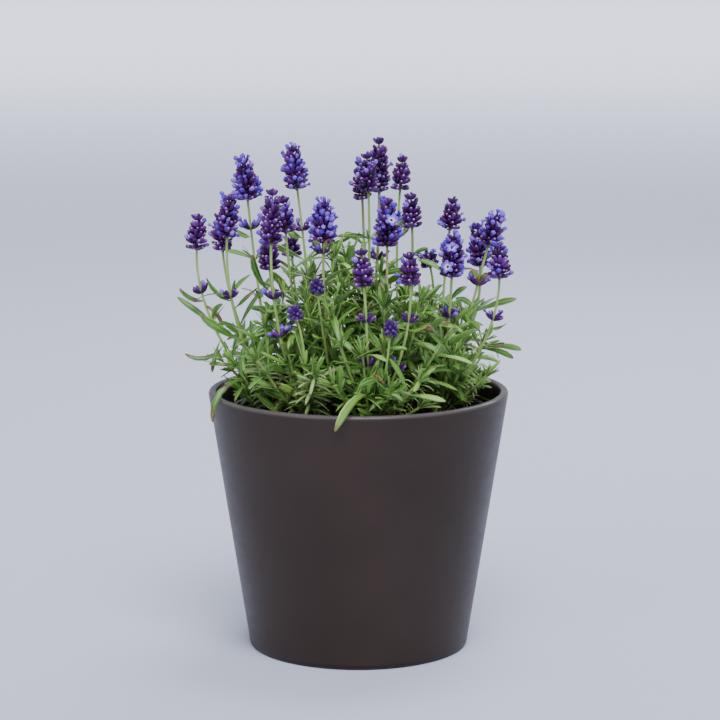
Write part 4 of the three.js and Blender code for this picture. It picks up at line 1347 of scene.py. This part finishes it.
class Blossoms:
    """The flowers of one spike, one young head or one ring."""

    def __init__(self, draw):
        self.draw = draw
        self.copies = Copies()

    def place(self, node, shapes, skin, seed):
        piece = self.copies.build(f"{node}_flowers", shapes, skin, seed, Twist=FLOWER_TWIST)
        place_piece(piece, "blossom", node)

    def calyx(self, place, azimuth, spread, length, width, bloom=0.0, pale=0.0, core=0.8):
        """One calyx out of a stem, perhaps with a lilac flower in its mouth. Returns its mouth."""
        draw = self.draw
        blade = blade_at(place, azimuth, length, width, spread, CALYX_BEND)
        start = place.at + place.outward(azimuth) * core
        self.copies.add(start, blade.ahead, blade.face, blade.side, (length, width, width), blade.bend,
                        shape=CALYX, tint=draw(0, 1), pale=pale, wide=0.0)
        mouth = start + blade.ahead * length * 0.9 + blade.face * length * 0.1
        ahead = unit(blade.ahead + blade.face * draw(0.1, 0.4) + blade.side * draw(-0.25, 0.25))
        side = unit(np.cross(ahead, blade.face))
        face = np.cross(side, ahead)
        if draw(0, 1) < bloom:
            size = draw(*LILAC_FLOWER["size"])
            plump = draw(*LILAC_FLOWER["plump"])
            self.copies.add(mouth, ahead, face, side, (size, size * plump, size * plump * 0.85),
                            math.radians(draw(*LILAC_FLOWER["bend"])),
                            shape=BUD if draw(0, 1) < LILAC_FLOWER["closed"] else FLARED, tint=draw(0, 1),
                            wide=0.0)
        return mouth, ahead, face, side

    def core(self, seat, length, thickness):
        self.copies.add(seat.at - seat.axis * 0.6, seat.axis, seat.across, np.cross(seat.axis, seat.across),
                        (length, thickness, thickness), 0.01, shape=CORE, tint=0.2, dry=1.0, wide=0.0)

    def young_head(self, flower, seat):
        """A ball of small closed calyces, spread evenly in a spiral from its foot to its top."""
        length, width = flower.length, flower.width
        self.core(seat, length * 0.8, width * 0.5)
        count = YOUNG_HEAD["count"]
        for i in range(count):
            height = -0.82 + 1.8 * (i + 0.5) / count
            ring = math.sqrt(max(0.0, 1 - height * height))
            middle = seat.at + seat.axis * (length * 0.46 + height * length * 0.16)
            lean = math.degrees(math.atan2(ring, height)) + self.draw(-9, 9)
            size = ((0.5 * width * ring + 0.5 * length * abs(height)) * YOUNG_HEAD["reach"]
                    * self.draw(0.9, 1.12))
            self.calyx(Place(middle, seat.axis, 0.0), i * GOLDEN_ANGLE, lean, size,
                       self.draw(*YOUNG_HEAD["width"]), 0.0, self.draw(0.2, 0.85), core=0.6)

    def grown_spike(self, flower, seat):
        """Whorls of calyces up to a neck, and a tuft of a few more above it."""
        draw = self.draw
        length, width = flower.length, min(flower.width, SPIKE["widest"])
        neck = draw(*SPIKE["neck"]) if length > SPIKE["short"] else SPIKE["short_neck"]
        self.core(seat, length - 2.2, SPIKE["core"])
        body = length - neck - 1.6
        whorls = max(3, round(body / SPIKE["whorl"]))
        shortest, longest = SPIKE["length"]
        mouths = []
        for whorl in range(whorls):
            share = (whorl + 0.5) / whorls
            reach = width / 2 * np.interp(share, *SPIKE_FORM)
            count = max(5, round(2 * math.pi * reach * 0.74 / SPIKE["apart"]))
            for i in range(count):
                at = seat.at + seat.axis * (0.7 + whorl * body / whorls + draw(-0.35, 0.35))
                azimuth = 2 * math.pi * (i + (whorl % 2) / 2) / count + draw(-0.18, 0.18)
                lean = SPIKE["lean"] - SPIKE["rise"] * share + draw(-12, 12)
                size = (reach - 0.7) / math.sin(math.radians(max(lean, 38)))
                size = min(longest, max(shortest, size))
                mouth = self.calyx(Place(at, seat.axis, 0.0), azimuth, lean, size * draw(0.88, 1.12),
                                   draw(*SPIKE["width"]), flower.bloom)
                mouths.append((share, *mouth))
        tuft = TOP_TUFT
        top = Place(seat.at + seat.axis * (length - tuft["down"]), seat.axis, 0.0)
        first = draw(0, 1.2)
        for i in range(tuft["count"]):
            lean = draw(*tuft["lean" if i < tuft["count"] - 1 else "last"])
            self.calyx(top, first + i * tuft["turn"] + draw(-0.2, 0.2), lean, draw(*tuft["length"]),
                       draw(*tuft["width"]), min(0.8, flower.bloom * 1.3), tuft["pale"], core=0.5)
        self.open_flowers(mouths, flower.opened)

    def open_flowers(self, mouths, count):
        """Wide open flowers, as many at the front as at the back."""
        for sign in (1, -1):
            for height in OPEN_FLOWER["heights"][:count]:
                share, at, ahead, face, side = min(
                    mouths, key=lambda m: sign * m[2][1] + 3 * abs(m[0] - height) + 0.3 * abs(m[2][0]))
                self.copies.add(at, ahead, face, side, OPEN_FLOWER["size"],
                                math.radians(OPEN_FLOWER["bend"]), shape=WIDE, tint=self.draw(0.5, 0.65),
                                wide=1.0)

    def ring(self, flower, place):
        """Two fans of calyces, one on each side of the stem."""
        draw = self.draw
        right = place.rightward()
        bloom = min(0.6, flower.bloom * 1.3)
        for facing in (right, right + math.pi):
            for turn in FAN["turns"]:
                self.calyx(place, facing + turn + draw(-0.12, 0.12), draw(*FAN["lean"]),
                           draw(*FAN["length"]), draw(*FAN["width"]), bloom, core=0.7)
            self.calyx(place, facing + draw(-0.3, 0.3), draw(*FAN_MIDDLE["lean"]),
                       draw(*FAN_MIDDLE["length"]), FAN_MIDDLE["width"], bloom)


def make_plants():
    beads, plants = grow_all()
    draw = Draws(LOOKS_SEED)
    leaves, flowers = leaf_shapes(), flower_shapes()
    leaf, stalk, petal = leaf_material(), stem_material(), flower_material()
    extra = fill_shoots(beads, plants, draw)
    for plant in plants:
        pale = [shoot_stem(plant.foot, np.array(tip, float), draw)
                for owner, tip in PALE_SHOOTS if owner == plant.owner]
        make_green(plant, beads, draw, extra[plant.owner], pale, leaves, leaf, stalk)
        for i, (flower, stem) in enumerate(zip(plant.flowers, plant.stems)):
            label = f"{plant.name}_{'abc'[i]}"
            seed = plant.owner * 10 + i
            spike = Blossoms(draw)
            (spike.young_head if flower.young else spike.grown_spike)(flower, stem.place_below(0))
            spike.place(f"{label}_spike", flowers, petal, seed)
            for k, distance in enumerate(flower.rings):
                ring = Blossoms(draw)
                ring.ring(flower, stem.place_below(distance))
                ring.place(f"{label}_ring_{k + 1}", flowers, petal, seed + 200 + k)
    for group in (leaves, flowers):
        for shape in list(group.objects):
            bpy.data.objects.remove(shape)
        bpy.data.collections.remove(group)


# Camera, floor and light

def make_camera():
    data = bpy.data.cameras.new("camera")
    data.lens = CAMERA["lens"]
    data.sensor_width = CAMERA["sensor"]
    camera = bpy.data.objects.new("camera", data)
    camera.location = Vector(CAMERA["at"]) * MM
    camera.rotation_euler = (math.radians(90 - CAMERA["pitch"]), 0, 0)
    bpy.context.scene.collection.objects.link(camera)
    bpy.context.scene.camera = camera


def make_floor():
    half = FLOOR_HALF
    corners = [(-half, -half, 0), (half, -half, 0), (half, half, 0), (-half, half, 0)]
    floor = shown("floor", mesh_of("floor", corners, [(0, 1, 2, 3)]))
    floor.data.materials.append(floor_material())


def aimed(name, data, at, target=(0, 0, 0.12)):
    light = bpy.data.objects.new(name, data)
    light.location = at
    light.rotation_euler = (Vector(target) - Vector(at)).to_track_quat("-Z", "Y").to_euler()
    bpy.context.scene.collection.objects.link(light)


def light_panel(name, at, size, power, target=(0, 0, 0.12)):
    panel = bpy.data.lights.new(name, "AREA")
    panel.shape = "RECTANGLE"
    panel.size, panel.size_y = size
    panel.energy = power
    aimed(name, panel, at, target)
    return panel


def make_light():
    sun = bpy.data.lights.new("window_light", "SUN")
    sun.energy = SUN["power"]
    sun.angle = math.radians(SUN["angle"])
    sun.color = SUN["colour"]
    aimed("window_light", sun, SUN["at"])
    for panel in PANELS:
        light_panel(*panel)
    light_panel(*BACKDROP_WASH).spread = math.radians(WASH_SPREAD)
    world = bpy.data.worlds.new("studio")
    world.use_nodes = True
    sky = world.node_tree.nodes["Background"]
    sky.inputs["Color"].default_value = (*SKY["colour"], 1.0)
    sky.inputs["Strength"].default_value = SKY["strength"]
    bpy.context.scene.world = world


TREES = {"copies": copies_tree(), "stems": stems_tree(), "crumbs": crumbs_tree()}
make_camera()
make_floor()
make_light()
make_pot()
make_growing_pot()
make_soil()
make_plants()
